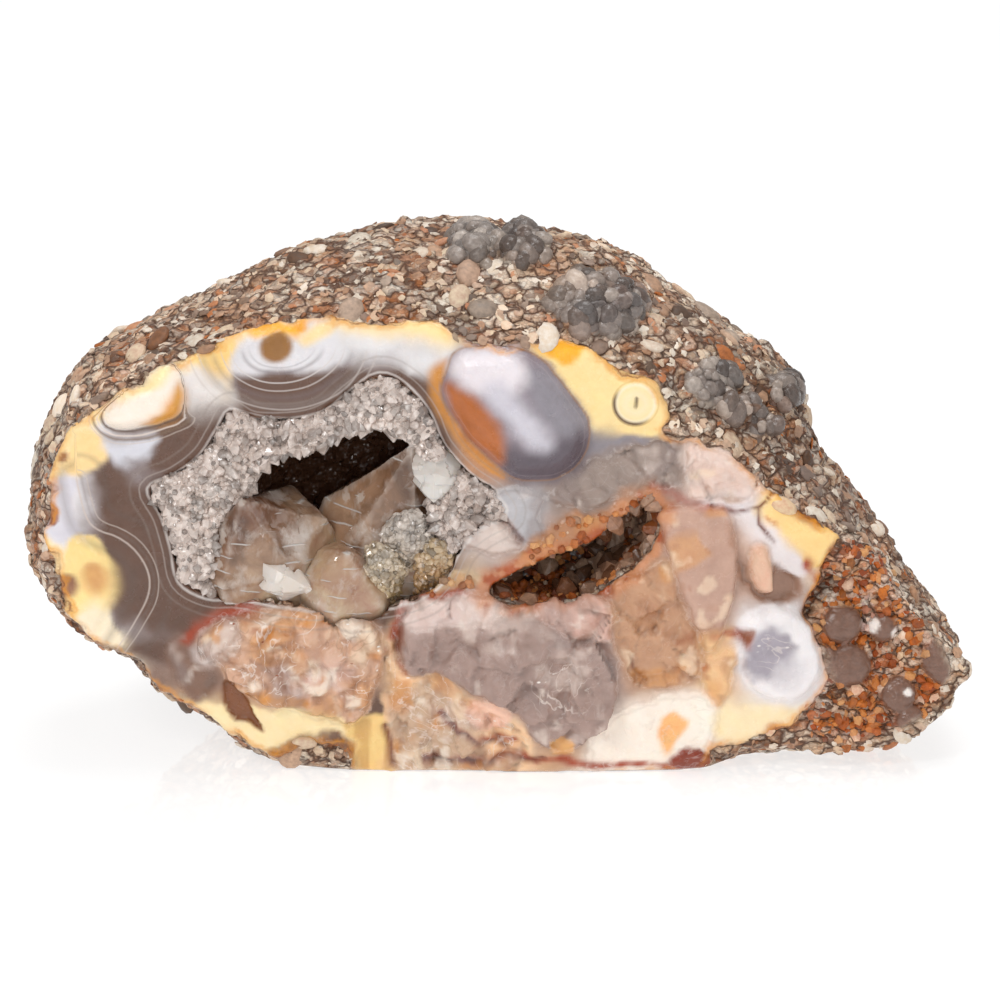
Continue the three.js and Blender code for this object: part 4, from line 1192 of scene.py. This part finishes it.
speck_pick = wire(tree, "ShaderNodeSeparateColor", {0: speck.outputs["Color"]}).outputs[0]
is_white = math_node(tree, "GREATER_THAN", speck_pick, 0.84)
is_rust = math_node(tree, "LESS_THAN", speck_pick, 0.06)
near_speck = ramp(tree, speck.outputs["Distance"], [(0.07, 1.0), (0.17, 0.0)])
colour = mix_colour(tree, product(tree, near_speck, is_white, veiled_there), colour, linear("fbf4ef"))
colour = mix_colour(tree, product(tree, near_speck, is_rust, veiled_there), colour, linear("8a4325"))
print("nodes so far:", len(tree.nodes))

# %% Stone material: flakes of the rind
big_flakes = flakes(tree, 1.7, 2.4)
big_seams = flakes(tree, 1.7, 2.4, "DISTANCE_TO_EDGE")
small_flakes = flakes(tree, 0.6, 0.9)
small_seams = flakes(tree, 0.6, 0.9, "DISTANCE_TO_EDGE")
FLAKE_SHADES = [
    (0.0, "4a2f1f"), (0.14, "c2a088"), (0.3, "fbeedd"), (0.5, "8a7568"), (0.62, "e8cdb2"),
    (0.76, "fff6ea"), (0.87, "b56a30"),
]
big_pick = wire(tree, "ShaderNodeSeparateColor", {0: big_flakes.outputs["Color"]}).outputs[0]
small_pick = wire(tree, "ShaderNodeSeparateColor", {0: small_flakes.outputs["Color"]}).outputs[1]
big_shades = ramp(tree, big_pick, FLAKE_SHADES, "CONSTANT")
small_shades = ramp(tree, small_pick, FLAKE_SHADES, "CONSTANT")
flaky = mix_colour(tree, 0.45, big_shades, small_shades)
clean = attribute(tree, "bare")
flaked = math_node(tree, "SUBTRACT", 1.0, clean)
flaky_share = math_node(tree, "MULTIPLY", flaked, 0.58)
gritty = mix_colour(tree, flaky_share, attribute(tree, "tint", "Color"), flaky)
ochre = ramp(tree, object_noise(tree, 4.5, detail=6, roughness=0.65), [(0.52, 0.0), (0.64, 0.4)])
gritty = mix_colour(tree, math_node(tree, "MULTIPLY", flaked, ochre), gritty, linear("a2622f"))
big_seam = ramp(tree, big_seams.outputs["Distance"], [(0.02, 0.9), (0.12, 0.0)])
small_seam = ramp(tree, small_seams.outputs["Distance"], [(0.03, 0.35), (0.12, 0.0)])
gritty = mix_colour(tree, math_node(tree, "MULTIPLY", flaked, big_seam), gritty, linear("472814"))
gritty = mix_colour(tree, math_node(tree, "MULTIPLY", flaked, small_seam), gritty, linear("5a3a27"))
dust = ramp(tree, object_noise(tree, 0.5, detail=5), [(0.3, 0.3), (0.7, 0.7)])
gritty = mix_colour(tree, 0.4, gritty, dust, "OVERLAY")
colour = mix_colour(tree, is_face_there, gritty, colour)
tree.links.new(colour, surface.inputs["Base Color"])
print("shades of flake:", len(FLAKE_SHADES))

# %% Stone material: gloss, depth of light and fine relief
dull = ramp(tree, object_noise(tree, 1.2), [(0.3, 0.42), (0.7, 0.8)])
dull = mix_colour(tree, clean, dull, (0.3, 0.3, 0.3, 1))
shiny = ramp(tree, object_noise(tree, 2.2, detail=5), [(0.35, 0.06), (0.65, 0.32)])
tree.links.new(mix_colour(tree, is_face_there, dull, shiny), surface.inputs["Roughness"])
surface.inputs["Subsurface Weight"].default_value = 0.15
surface.inputs["Subsurface Radius"].default_value = (0.0013, 0.0009, 0.0007)
surface.inputs["Subsurface Scale"].default_value = 1.0
surface.inputs["Specular IOR Level"].default_value = 0.6
chipped = cell_distance(tree, 1.5)
grain = math_node(tree, "MULTIPLY", object_noise(tree, 0.9, detail=6, roughness=0.62), 0.45)
face_height = math_node(tree, "ADD", grain, product(tree, chipped, veiled_there, 0.8))
big_domes = math_node(tree, "MULTIPLY", big_flakes.outputs["Distance"], -0.9)
small_domes = math_node(tree, "MULTIPLY", small_flakes.outputs["Distance"], -0.6)
seam_step = ramp(tree, big_seams.outputs["Distance"], [(0.0, 0.0), (0.15, 0.5)])
flake_share = math_node(tree, "ADD", math_node(tree, "MULTIPLY", flaked, 0.85), 0.15)
rind_height = math_node(tree, "ADD", math_node(tree, "ADD", big_domes, small_domes), seam_step)
rind_height = math_node(tree, "MULTIPLY", rind_height, flake_share)
height = wire(tree, "ShaderNodeMix", {0: is_face_there, 2: rind_height, 3: face_height}).outputs[0]
bump(tree, surface, height, 0.34)
stone.data.materials.append(stone_material)
for polygon in stone.data.polygons:
    polygon.use_smooth = True
print("nodes in the stone material:", len(tree.nodes))
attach(stone, "root")
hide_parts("stone")

# %% [markdown]
# ## Quartz lining and its crust of small points
# Quartz grew last, into the open space. On the real stone the lining is a granular crust that ends in
# hundreds of small six-sided points. The crust is a skin like the stone's. A Geometry Nodes tree
# scatters two small point shapes over it in three layers, each point with its own size, turn and lean.

# %% Lining skin
LINING_PALE = "f8ebe3"
LINING_SHADE = "5e4436"
LINING_STEP = 0.00042
CLOSE_GAP = 0.38
lining = even_skin(plain_copy("quartz_lining", "quartz_crust"), LINING_STEP, smoothing=1)
crust = to_face(points_of(lining.data))
crust_facing = normals_of(lining.data)
crust_lift = CLOSE_GAP + facets(crust, 1.7, 0.32, 100) + 0.5 * facets(crust, 0.9, 0.3, 101)
crust_lift += 0.25 * cloud(crust, 3.5, 102)
crust_moved = crust + crust_facing * crust_lift[:, None]
lining.data.vertices.foreach_set("co", to_metres(crust_moved).ravel())
lining.data.update()
# Painted shade: the lining darkens the deeper it lies in the hollow.
hollow_depth_shade = smooth_step(1.5, 9.0, crust[:, 1])
crust_colours = np.tile(np.array(linear(LINING_PALE, alpha=False)), (len(crust), 1))
crust_colours = paint(crust_colours, 0.6 * smooth_step(-0.1, 0.5, cloud(crust, 4.5, 103)), "cdbcb2")
from_wall = inside_by(crust[:, [0, 2]], DRUSE_EDGE, reach=8)
near_wall = 1 - smooth_step(0.3, 2.6, from_wall)
crust_colours = paint(crust_colours, 0.5 * near_wall, "c0b1a9")
crust_colours = paint(crust_colours, hollow_depth_shade, LINING_SHADE)
store_colour(lining.data, "tint", crust_colours)
show = (crust_facing[:, 1] < 0.5) * (1 - smooth_step(9, 12, crust[:, 1]))
off_wall = smooth_step(0.5, 1.7, from_wall + 0.8 * cloud(crust, 3.0, 104, 2))
mouth = show * smooth_step(0.5, 1.4, crust[:, 1]) * (1 - smooth_step(3.0, 5.0, crust[:, 1]))
mouth *= smooth_step(25.5, 27.5, crust[:, 2])
store_field(lining.data, "grain_cover", show)
print("lining:", len(lining.data.polygons), "squares")

# %% Scatter tree
TREE_INPUTS = (
    ("Surface", "NodeSocketGeometry"), ("Shape", "NodeSocketObject"), ("Finish", "NodeSocketMaterial"),
    ("Spacing", "NodeSocketFloat"), ("Smallest", "NodeSocketFloat"), ("Largest", "NodeSocketFloat"),
    ("Lean", "NodeSocketFloat"), ("Squash", "NodeSocketFloat"), ("Sink", "NodeSocketFloat"),
    ("Seed", "NodeSocketInt"),
)
NO_LIMIT = 1e8


def input_named(node, name):
    return [socket for socket in node.inputs if socket.name == name][0]


def scatter_tree(name):
    """Scatters one shape over a surface, where its grain_cover layer is high."""
    tree = bpy.data.node_groups.new(name, "GeometryNodeTree")
    for label, kind in TREE_INPUTS:
        tree.interface.new_socket(label, in_out="INPUT", socket_type=kind)
    tree.interface.new_socket("Grains", in_out="OUTPUT", socket_type="NodeSocketGeometry")
    given = tree.nodes.new("NodeGroupInput").outputs
    layer = wire(tree, "GeometryNodeInputNamedAttribute", {"Name": "grain_cover"}, data_type="FLOAT")
    spread = wire(tree, "GeometryNodeDistributePointsOnFaces", {
        "Mesh": given["Surface"], "Distance Min": given["Spacing"], "Density Max": NO_LIMIT,
        "Density Factor": layer.outputs["Attribute"], "Seed": given["Seed"]}, distribute_method="POISSON")
    lower = wire(tree, "ShaderNodeVectorMath", {0: spread.outputs["Normal"], "Scale": given["Sink"]},
                 operation="SCALE")
    placed = wire(tree, "GeometryNodeSetPosition", {
        "Geometry": spread.outputs["Points"], "Offset": lower.outputs[0]})
    shape = wire(tree, "GeometryNodeObjectInfo", {"Object": given["Shape"], "As Instance": True})
    size = wire(tree, "FunctionNodeRandomValue", data_type="FLOAT")
    for socket in size.inputs:
        if socket.type == "VALUE" and socket.name in ("Min", "Max"):
            tree.links.new(given["Smallest" if socket.name == "Min" else "Largest"], socket)
    tree.links.new(given["Seed"], input_named(size, "Seed"))
    squash = wire(tree, "ShaderNodeCombineXYZ", {0: 1.0, 1: 1.0, 2: given["Squash"]})
    scale = wire(tree, "ShaderNodeVectorMath", {0: squash.outputs[0], "Scale": size.outputs[1]},
                 operation="SCALE")
    scattered = wire(tree, "GeometryNodeInstanceOnPoints", {
        "Points": placed.outputs[0], "Instance": shape.outputs["Geometry"],
        "Rotation": spread.outputs["Rotation"], "Scale": scale.outputs[0]})
    turn = wire(tree, "FunctionNodeRandomValue", data_type="FLOAT_VECTOR")
    lean = wire(tree, "ShaderNodeCombineXYZ", {0: given["Lean"], 1: given["Lean"], 2: math.pi})
    less = wire(tree, "ShaderNodeVectorMath", {0: lean.outputs[0], "Scale": -1.0}, operation="SCALE")
    tree.links.new(less.outputs[0], turn.inputs[0])
    tree.links.new(lean.outputs[0], turn.inputs[1])
    tree.links.new(given["Seed"], input_named(turn, "Seed"))
    turned = wire(tree, "GeometryNodeRotateInstances", {
        "Instances": scattered.outputs[0], "Rotation": turn.outputs[0]})
    shade = wire(tree, "FunctionNodeRandomValue", data_type="FLOAT")
    shaded = wire(tree, "GeometryNodeStoreNamedAttribute", {
        "Geometry": turned.outputs[0], "Name": "shade", "Value": shade.outputs[1]},
        data_type="FLOAT", domain="INSTANCE")
    real = wire(tree, "GeometryNodeRealizeInstances", {"Geometry": shaded.outputs[0]})
    done = wire(tree, "GeometryNodeSetMaterial", {
        "Geometry": real.outputs[0], "Material": given["Finish"]})
    out = tree.nodes.new("NodeGroupOutput")
    tree.links.new(done.outputs[0], out.inputs[0])
    return tree


SCATTER = scatter_tree("scatter_on_surface")
print("scatter tree:", len(SCATTER.nodes), "nodes")

# %% Use of the tree
KEPT_LAYERS = ("tint", "shade", "position", "sharp_face", "sharp_edge")


def scatter(piece_name, surface_piece, settings):
    """Runs the tree on a surface and returns the result as a plain mesh piece."""
    carrier = put_in_scene(bpy.data.objects.new(piece_name, surface_piece.data.copy()))
    modifier = carrier.modifiers.new("scatter", "NODES")
    modifier.node_group = SCATTER
    for item in SCATTER.interface.items_tree:
        if item.item_type == "SOCKET" and item.in_out == "INPUT" and item.name in settings:
            modifier[item.identifier] = settings[item.name]
    bake(carrier)
    carrier.data.materials.clear()
    carrier.data.materials.append(settings["Finish"])
    for layer in [a.name for a in carrier.data.attributes]:
        if layer not in KEPT_LAYERS and not layer.startswith("."):
            carrier.data.attributes.remove(carrier.data.attributes[layer])
    print(piece_name + ":", len(carrier.data.polygons), "faces")
    return carrier


def shape_object(name, points, faces):
    mesh = bpy.data.meshes.new(name)
    mesh.from_pydata([Vector(p) for p in points], [], faces)
    form = bmesh.new()
    form.from_mesh(mesh)
    bmesh.ops.recalc_face_normals(form, faces=form.faces)
    bmesh.ops.triangulate(form, faces=form.faces)
    form.to_mesh(mesh)
    form.free()
    return bpy.data.objects.new(name, mesh)


# %% One small quartz point
def quartz_point_shape(name, shoulder, top, blunt):
    """A six-sided point one unit across: prism, then a pyramid a little off its middle."""
    ring = [(0.5 * math.cos(k * math.pi / 3), 0.5 * math.sin(k * math.pi / 3)) for k in range(6)]
    points = [(x, y, -0.4) for x, y in ring]
    points += [(x, y, shoulder + 0.12 * (k % 2)) for k, (x, y) in enumerate(ring)]
    points += [(x * blunt + 0.04, y * blunt - 0.03, top) for x, y in ring[::2]]
    faces = [tuple(range(5, -1, -1))]
    faces += [(k, (k + 1) % 6, 6 + (k + 1) % 6, 6 + k) for k in range(6)]
    for k in range(3):
        a, b, c = 6 + 2 * k, 6 + (2 * k + 1) % 6, 6 + (2 * k + 2) % 6
        faces += [(a, b, 12 + k), (b, c, 12 + (k + 1) % 3), (b, 12 + (k + 1) % 3, 12 + k)]
    faces.append((12, 13, 14))
    return shape_object(name, points, faces)


point_shape = quartz_point_shape("small_quartz_point", 0.35, 1.0, 0.12)
stubby_shape = quartz_point_shape("stubby_quartz_point", 0.1, 0.6, 0.3)
print("faces of one point:", len(point_shape.data.polygons))

# %% Druse material
druse_material, tree, surface = new_material("clear_druse")
# Each point gets a random brightness: partly its own tone, partly painted glints, the brightest points
# standing for glinting facets.
tone_and_glints = ramp(tree, attribute(tree, "shade"), [(0, 0.4), (0.25, 0.62), (0.55, 0.9), (0.75, 1.0)])
tone = mix_colour(tree, 1.0, attribute(tree, "tint", "Color"), tone_and_glints, "MULTIPLY")
frost = object_noise(tree, 0.8, detail=4)
tone = mix_colour(tree, ramp(tree, frost, [(0.54, 0.0), (0.74, 0.55)]), tone, linear("fbf7f4"))
tree.links.new(tone, surface.inputs["Base Color"])
tree.links.new(ramp(tree, frost, [(0.4, 0.03), (0.7, 0.2)]), surface.inputs["Roughness"])
tree.links.new(ramp(tree, frost, [(0.4, 0.38), (0.65, 0.06)]), surface.inputs["Transmission Weight"])
surface.inputs["IOR"].default_value = 1.54
surface.inputs["Specular IOR Level"].default_value = 1.0
bump(tree, surface, object_noise(tree, 0.35, detail=3), 0.04)


def lining_material():
    """The crust under the points: pale, milky, not glassy, so that light comes back from it."""
    material, tree, surface = new_material("milky_quartz_crust")
    milky = object_noise(tree, 0.9, detail=6, roughness=0.65)
    cloudy = ramp(tree, milky, [(0.3, 0.4), (0.7, 0.72)])
    tone = mix_colour(tree, 0.55, attribute(tree, "tint", "Color"), cloudy, "OVERLAY")
    tree.links.new(tone, surface.inputs["Base Color"])
    tree.links.new(ramp(tree, milky, [(0.3, 0.08), (0.7, 0.35)]), surface.inputs["Roughness"])
    surface.inputs["Subsurface Weight"].default_value = 0.2
    surface.inputs["Subsurface Radius"].default_value = (0.0012, 0.0011, 0.0010)
    surface.inputs["Subsurface Scale"].default_value = 1.0
    bump(tree, surface, cell_distance(tree, 0.8), 0.3)
    return material


lining.data.materials.append(lining_material())
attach(lining, "root")
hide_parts("quartz_lining")

# %% Three layers of small points
DRUSE_LAYERS = [  # name, shape, cover, settings of the tree in metres and radians
    ("druse_mouth", point_shape, 0.9 * mouth, dict(
        Spacing=0.0013, Smallest=0.0011, Largest=0.0023, Lean=0.7, Squash=1.0, Sink=-0.0004, Seed=5)),
    ("druse_points", point_shape, show * (0.4 + 0.6 * off_wall), dict(
        Spacing=0.00075, Smallest=0.0005, Largest=0.0012, Lean=0.6, Squash=1.0, Sink=-0.0002, Seed=3)),
    ("druse_crumbs", stubby_shape, show * (0.55 + 0.45 * off_wall), dict(
        Spacing=0.00043, Smallest=0.0003, Largest=0.00075, Lean=1.0, Squash=1.0, Sink=-0.0001, Seed=8)),
]
for name, shape, cover, settings in DRUSE_LAYERS:
    lining.data.attributes["grain_cover"].data.foreach_set("value", cover)
    druse = scatter(name, lining, dict(settings, Shape=shape, Finish=druse_material))
    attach(druse, "root")

# %% [markdown]
# ## The larger quartz crystals
# Smoky and clear quartz crystals stand in the hollow. Real ones are six-sided, marked across their sides
# by fine growth steps, and full of pale veils and healed cracks. Each packed crystal is given an even
# skin, and growth steps are pressed into it along its own axis. The material adds veils and glints, and
# three of the clear crystals carry a sugary crust of small points.

# %% Crystal materials


def crystal_material(name, veil_strength, transmission, roughness):
    """Quartz with cloudy veils, pale edges (partly chipped, partly painted highlight), and short level
    white glints on its growth steps.
    """
    material, tree, surface = new_material(name)
    tone = attribute(tree, "tint", "Color")
    depth = object_noise(tree, 3.2, detail=6, roughness=0.6, distortion=0.6)
    tone = mix_colour(tree, 0.55, tone, ramp(tree, depth, [(0.32, 0.16), (0.68, 0.8)]), "OVERLAY")
    veils = object_noise(tree, 3.6, detail=7, roughness=0.62, distortion=0.5, stretch=(1.2, 1.0, 0.8))
    tone = mix_colour(tree, ramp(tree, veils, [(0.5, 0.0), (0.68, veil_strength)]), tone, linear("efe3da"))
    # Sharp edges are painted paler: partly chipped edges, partly a painted highlight along them.
    edges = wire(tree, "ShaderNodeNewGeometry").outputs["Pointiness"]
    tone = mix_colour(tree, ramp(tree, edges, [(0.51, 0.0), (0.57, 0.55)]), tone, linear("f8ece2"))
    levels = math_node(tree, "DIVIDE", attribute(tree, "glint_height"), 1.55)
    waver = math_node(tree, "MULTIPLY", object_noise(tree, 6.0, detail=1), 0.3)
    steps = math_node(tree, "ADD", levels, waver)
    glint = band(tree, math_node(tree, "FRACT", steps), 0.5, 0.075)
    where = object_noise(tree, 2.2, detail=1, stretch=(0.6, 0.8, 2.2))
    glint = math_node(tree, "MULTIPLY", glint, ramp(tree, where, [(0.52, 0.0), (0.57, 1.0)]))
    tone = mix_colour(tree, math_node(tree, "MULTIPLY", glint, 0.9), tone, linear("fffaf6"))
    tree.links.new(tone, surface.inputs["Base Color"])
    gloss = ramp(tree, veils, [(0.4, roughness), (0.75, roughness + 0.2)])
    tree.links.new(gloss, surface.inputs["Roughness"])
    surface.inputs["Transmission Weight"].default_value = transmission
    surface.inputs["IOR"].default_value = 1.54
    surface.inputs["Subsurface Weight"].default_value = 0.2
    surface.inputs["Subsurface Radius"].default_value = (0.0030, 0.0022, 0.0017)
    surface.inputs["Subsurface Scale"].default_value = 1.0
    surface.inputs["Specular IOR Level"].default_value = 0.75
    grain = math_node(tree, "MULTIPLY", object_noise(tree, 0.7, detail=5), 0.5)
    bump(tree, surface, math_node(tree, "ADD", grain, glint), 0.07)
    return material


smoky_material = crystal_material("smoky_quartz_finish", 0.8, 0.32, 0.04)
clear_material = crystal_material("clear_quartz_finish", 0.6, 0.3, 0.04)
print("crystal finishes:", smoky_material.name, clear_material.name)

# %% Places and shades of the crystals
CRYSTALS = {  # root and tip (u, y, v), colour at the root and at the tip
    "smoky_crystal_left": ((-21.8, 11.0, 13.5), (-25.8, -1.0, 28.9), "e6c8ae", "75503c"),
    "smoky_crystal_right": ((-13.6, 11.5, 14.0), (-8.8, 0.8, 34.0), "cfae95", "6b4833"),
    "smoky_crystal_side": ((-4.5, 9.0, 19.5), (-2.4, 0.4, 28.4), "a88a79", "896b5d"),
    "smoky_crystal_low": ((-17.0, 9.0, 12.5), (-15.2, -1.8, 23.6), "ecd3bd", "c6a68c"),
    "clear_crystal_sill": ((-29.2, 5.0, 22.8), (-19.0, -1.8, 19.8), "f3e6da", "fbf1e8"),
    "clear_crystal_tall": ((-10.5, 7.0, 18.0), (-8.5, -1.2, 27.6), "d8c6b0", "e9dfd6"),
    "clear_crystal_short": ((-12.6, 5.5, 17.0), (-11.6, -1.6, 23.8), "d8bf98", "e2d3bf"),
    "clear_crystal_squat": ((-7.4, 6.0, 17.5), (-6.4, -1.0, 24.6), "cda67c", "d9c3a6"),
    "roof_crystal_wide": ((-5.6, 4.5, 35.4), (-6.6, -0.8, 28.6), "f6ece4", "fffaf5"),
    "roof_crystal_narrow": ((-1.4, 4.0, 32.4), (-0.9, 0.4, 27.6), "d5ccc6", "e2dbd6"),
}
CRYSTAL_DEPTH = {"smoky": 6, "clear": 5, "roof": 5}
ROUNDING = {"smoky_crystal_low": 12, "smoky_crystal_left": 2, "smoky_crystal_right": 1,
            "smoky_crystal_side": 6}
SUGARY = ("clear_crystal_tall", "clear_crystal_short", "clear_crystal_squat")


def sharp_skin(piece, depth, rounding):
    """An even skin that keeps the crystal's edges crisp."""
    remesh = piece.modifiers.new("sharp_skin", "REMESH")
    remesh.mode = "SHARP"
    remesh.octree_depth = depth
    remesh.scale = 0.9
    remesh.sharpness = 1.0
    remesh.use_remove_disconnected = False
    soften = piece.modifiers.new("soften", "SMOOTH")
    soften.iterations = rounding
    return bake(piece)


print("crystals:", len(CRYSTALS))

# %% Crystals with growth steps
for order, (node_name, (root_end, tip_end, root_shade, tip_shade)) in enumerate(CRYSTALS.items()):
    kind = node_name.split("_")[0]
    is_smoky = kind == "smoky"
    crystal = sharp_skin(plain_copy(node_name, node_name + "_quartz"), CRYSTAL_DEPTH[kind],
                         ROUNDING.get(node_name, 0))
    here = to_face(points_of(crystal.data))
    out = normals_of(crystal.data)
    axis = np.array(tip_end) - np.array(root_end)
    length = np.linalg.norm(axis)
    axis /= length
    along = (here - np.array(root_end)) @ axis
    patchy = smooth_step(-0.2, 0.4, cloud(here, 2.5, 120 + order))
    stair = np.stack([along * 0 + order, along * 0, along], axis=1)
    steps = 0.07 * patchy * np.round(2.5 * cloud(stair, 1.1, 130 + order, 2)) / 1.5
    chip_depth = 0.12 if is_smoky else 0.28
    chips = 0.07 * cloud(here, 1.4, 140 + order, 3) + chip_depth * facets(here, 1.8, 0.5, 150 + order)
    swell = (1.3 if is_smoky else 0.5) * (1 - smooth_step(0.2, 0.85, along / length))
    push = CLOSE_GAP * 0.3 + steps + chips + swell
    crystal.data.vertices.foreach_set("co", to_metres(here + out * push[:, None]).ravel())
    crystal.data.update()
    share = smooth_step(0.35, 1.0, along / length + 0.2 * cloud(here, 3.0, 160 + order, 3))
    shades = paint(np.tile(np.array(linear(root_shade, alpha=False)), (len(here), 1)), share, tip_shade)
    store_colour(crystal.data, "tint", shades)
    store_field(crystal.data, "glint_height", here[:, 2] + 0.08 * here[:, 0])
    crystal.data.materials.append(smoky_material if is_smoky else clear_material)
    crystal.data.polygons.foreach_set("use_smooth", [True] * len(crystal.data.polygons))
    crystal.data.set_sharp_from_angle(angle=math.radians(24))
    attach(crystal, "root")
    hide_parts(node_name)
    print(crystal.name + ":", len(crystal.data.polygons), "faces")
    if node_name in SUGARY:
        store_field(crystal.data, "grain_cover", out[:, 1] < 0.4)
        sugar = scatter(node_name + "_sugar", crystal, dict(
            Spacing=0.00045, Smallest=0.0004, Largest=0.0010, Lean=1.2, Squash=1.0, Sink=-0.0001,
            Seed=30 + order, Shape=stubby_shape, Finish=druse_material))
        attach(sugar, "root")

# %% [markdown]
# ## Crumbs of the rind
# The rind is a crust of thin mineral flakes and a few small pebbles, in cream, tan, brown and grey. Grey
# quartz knobs stand out of it, the tail and the slot are rusty crumbs, and smoky blocks stand in the
# slot. Bump alone would leave a smooth outline, so they are real shapes, scattered over the skin with
# the same tree and half sunk. Each takes the colour of its place and a shade of its own.

# %% Crumb shapes


def crumb_shape(name, seed, roundness):
    """A chipped pebble one unit across."""
    form = bmesh.new()
    bmesh.ops.create_icosphere(form, subdivisions=1 if roundness < 0.5 else 2, radius=0.5)
    here = np.array([v.co for v in form.verts])
    dents = 0.35 * cloud(here * 3 + seed, 1.3, seed, 2)
    for vertex, dent in zip(form.verts, dents):
        vertex.co *= 1 + float(dent) * (1.2 - roundness)
        vertex.co.x *= 1.25
    mesh = bpy.data.meshes.new(name)
    form.to_mesh(mesh)
    form.free()
    mesh.polygons.foreach_set("use_smooth", [roundness > 0.5] * len(mesh.polygons))
    return bpy.data.objects.new(name, mesh)


flake_shape = crumb_shape("flake", 5, 0.3)
rust_shape = crumb_shape("rusty_crumb", 9, 0.0)
pebble_shape = crumb_shape("pebble", 12, 0.8)
print("faces of a flake and a pebble:", len(flake_shape.data.polygons), len(pebble_shape.data.polygons))

# %% Crumb materials


def crumb_finish(name, shades, own_share, polish=0.0):
    """Crumbs take the colour of their place, mixed with a shade of their own."""
    material, tree, surface = new_material(name)
    own = ramp(tree, attribute(tree, "shade"), shades, "CONSTANT")
    tone = mix_colour(tree, own_share, attribute(tree, "tint", "Color"), own)
    dust = object_noise(tree, 0.5, detail=5)
    tone = mix_colour(tree, 0.6, tone, ramp(tree, dust, [(0.3, 0.3), (0.7, 0.75)]), "OVERLAY")
    tree.links.new(tone, surface.inputs["Base Color"])
    gloss = ramp(tree, dust, [(0.3, 0.35 - polish), (0.7, 0.75 - 1.6 * polish)])
    tree.links.new(gloss, surface.inputs["Roughness"])
    bump(tree, surface, dust, 0.1)
    return material


flake_material = crumb_finish("rind_flakes", [
    (0.0, "3f2818"), (0.16, "b3917a"), (0.34, "fdf0e0"), (0.55, "7d6c62"), (0.66, "ecd4bc"),
    (0.9, "b3682f")], 0.6)
rust_material = crumb_finish("rusty_crumbs", [
    (0.0, "5a2a14"), (0.2, "a65e36"), (0.45, "c98a5c"), (0.62, "7d3f24"), (0.8, "dcae84"),
    (0.93, "efd9c4")], 0.55)
knob_material = crumb_finish("grey_quartz_knobs", [
    (0.0, "4f4a48"), (0.3, "7f7874"), (0.55, "9b928c"), (0.85, "c6bbb2")], 0.48, polish=0.25)
block_material = crumb_finish("smoky_slot_quartz", [
    (0.0, "5b4538"), (0.3, "8d7464"), (0.6, "a98f7d"), (0.85, "6b3e28")], 0.75, polish=0.28)
CRUMB_MATERIALS = (flake_material, rust_material, knob_material, block_material)
print("finishes of the crumbs:", [material.name for material in CRUMB_MATERIALS])

# %% Six layers of crumbs
CRUMB_LAYERS = [  # name, shape, finish, cover, settings of the tree in metres and radians
    ("rind_knobs", pebble_shape, knob_material, knob_cover, dict(
        Spacing=0.0010, Smallest=0.0011, Largest=0.0026, Lean=0.5, Squash=0.85, Sink=-0.0004, Seed=26)),
    ("slot_blocks", stubby_shape, block_material, slot_block_cover, dict(
        Spacing=0.0012, Smallest=0.0012, Largest=0.0026, Lean=1.0, Squash=1.2, Sink=-0.0002, Seed=27)),
    ("rind_flakes", flake_shape, flake_material, rind_cover * FLAKE_SHARE, dict(
        Spacing=0.00072, Smallest=0.0004, Largest=0.0013, Lean=0.3, Squash=0.3, Sink=-0.00012, Seed=21)),
    ("rind_pebbles", pebble_shape, flake_material, rind_cover * 0.35, dict(
        Spacing=0.0019, Smallest=0.0009, Largest=0.0030, Lean=0.4, Squash=0.45, Sink=-0.00035, Seed=23)),
    ("tail_crumbs", rust_shape, rust_material, tail_cover, dict(
        Spacing=0.00062, Smallest=0.0005, Largest=0.0015, Lean=0.9, Squash=0.7, Sink=-0.0002, Seed=24)),
    ("slot_crumbs", rust_shape, rust_material, slot_cover, dict(
        Spacing=0.00052, Smallest=0.0003, Largest=0.0013, Lean=1.4, Squash=0.9, Sink=-0.0001, Seed=25)),
]
for name, shape, finish, cover, settings in CRUMB_LAYERS:
    stone.data.attributes["grain_cover"].data.foreach_set("value", cover)
    crumbs = scatter(name, stone, dict(settings, Shape=shape, Finish=finish))
    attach(crumbs, "root")
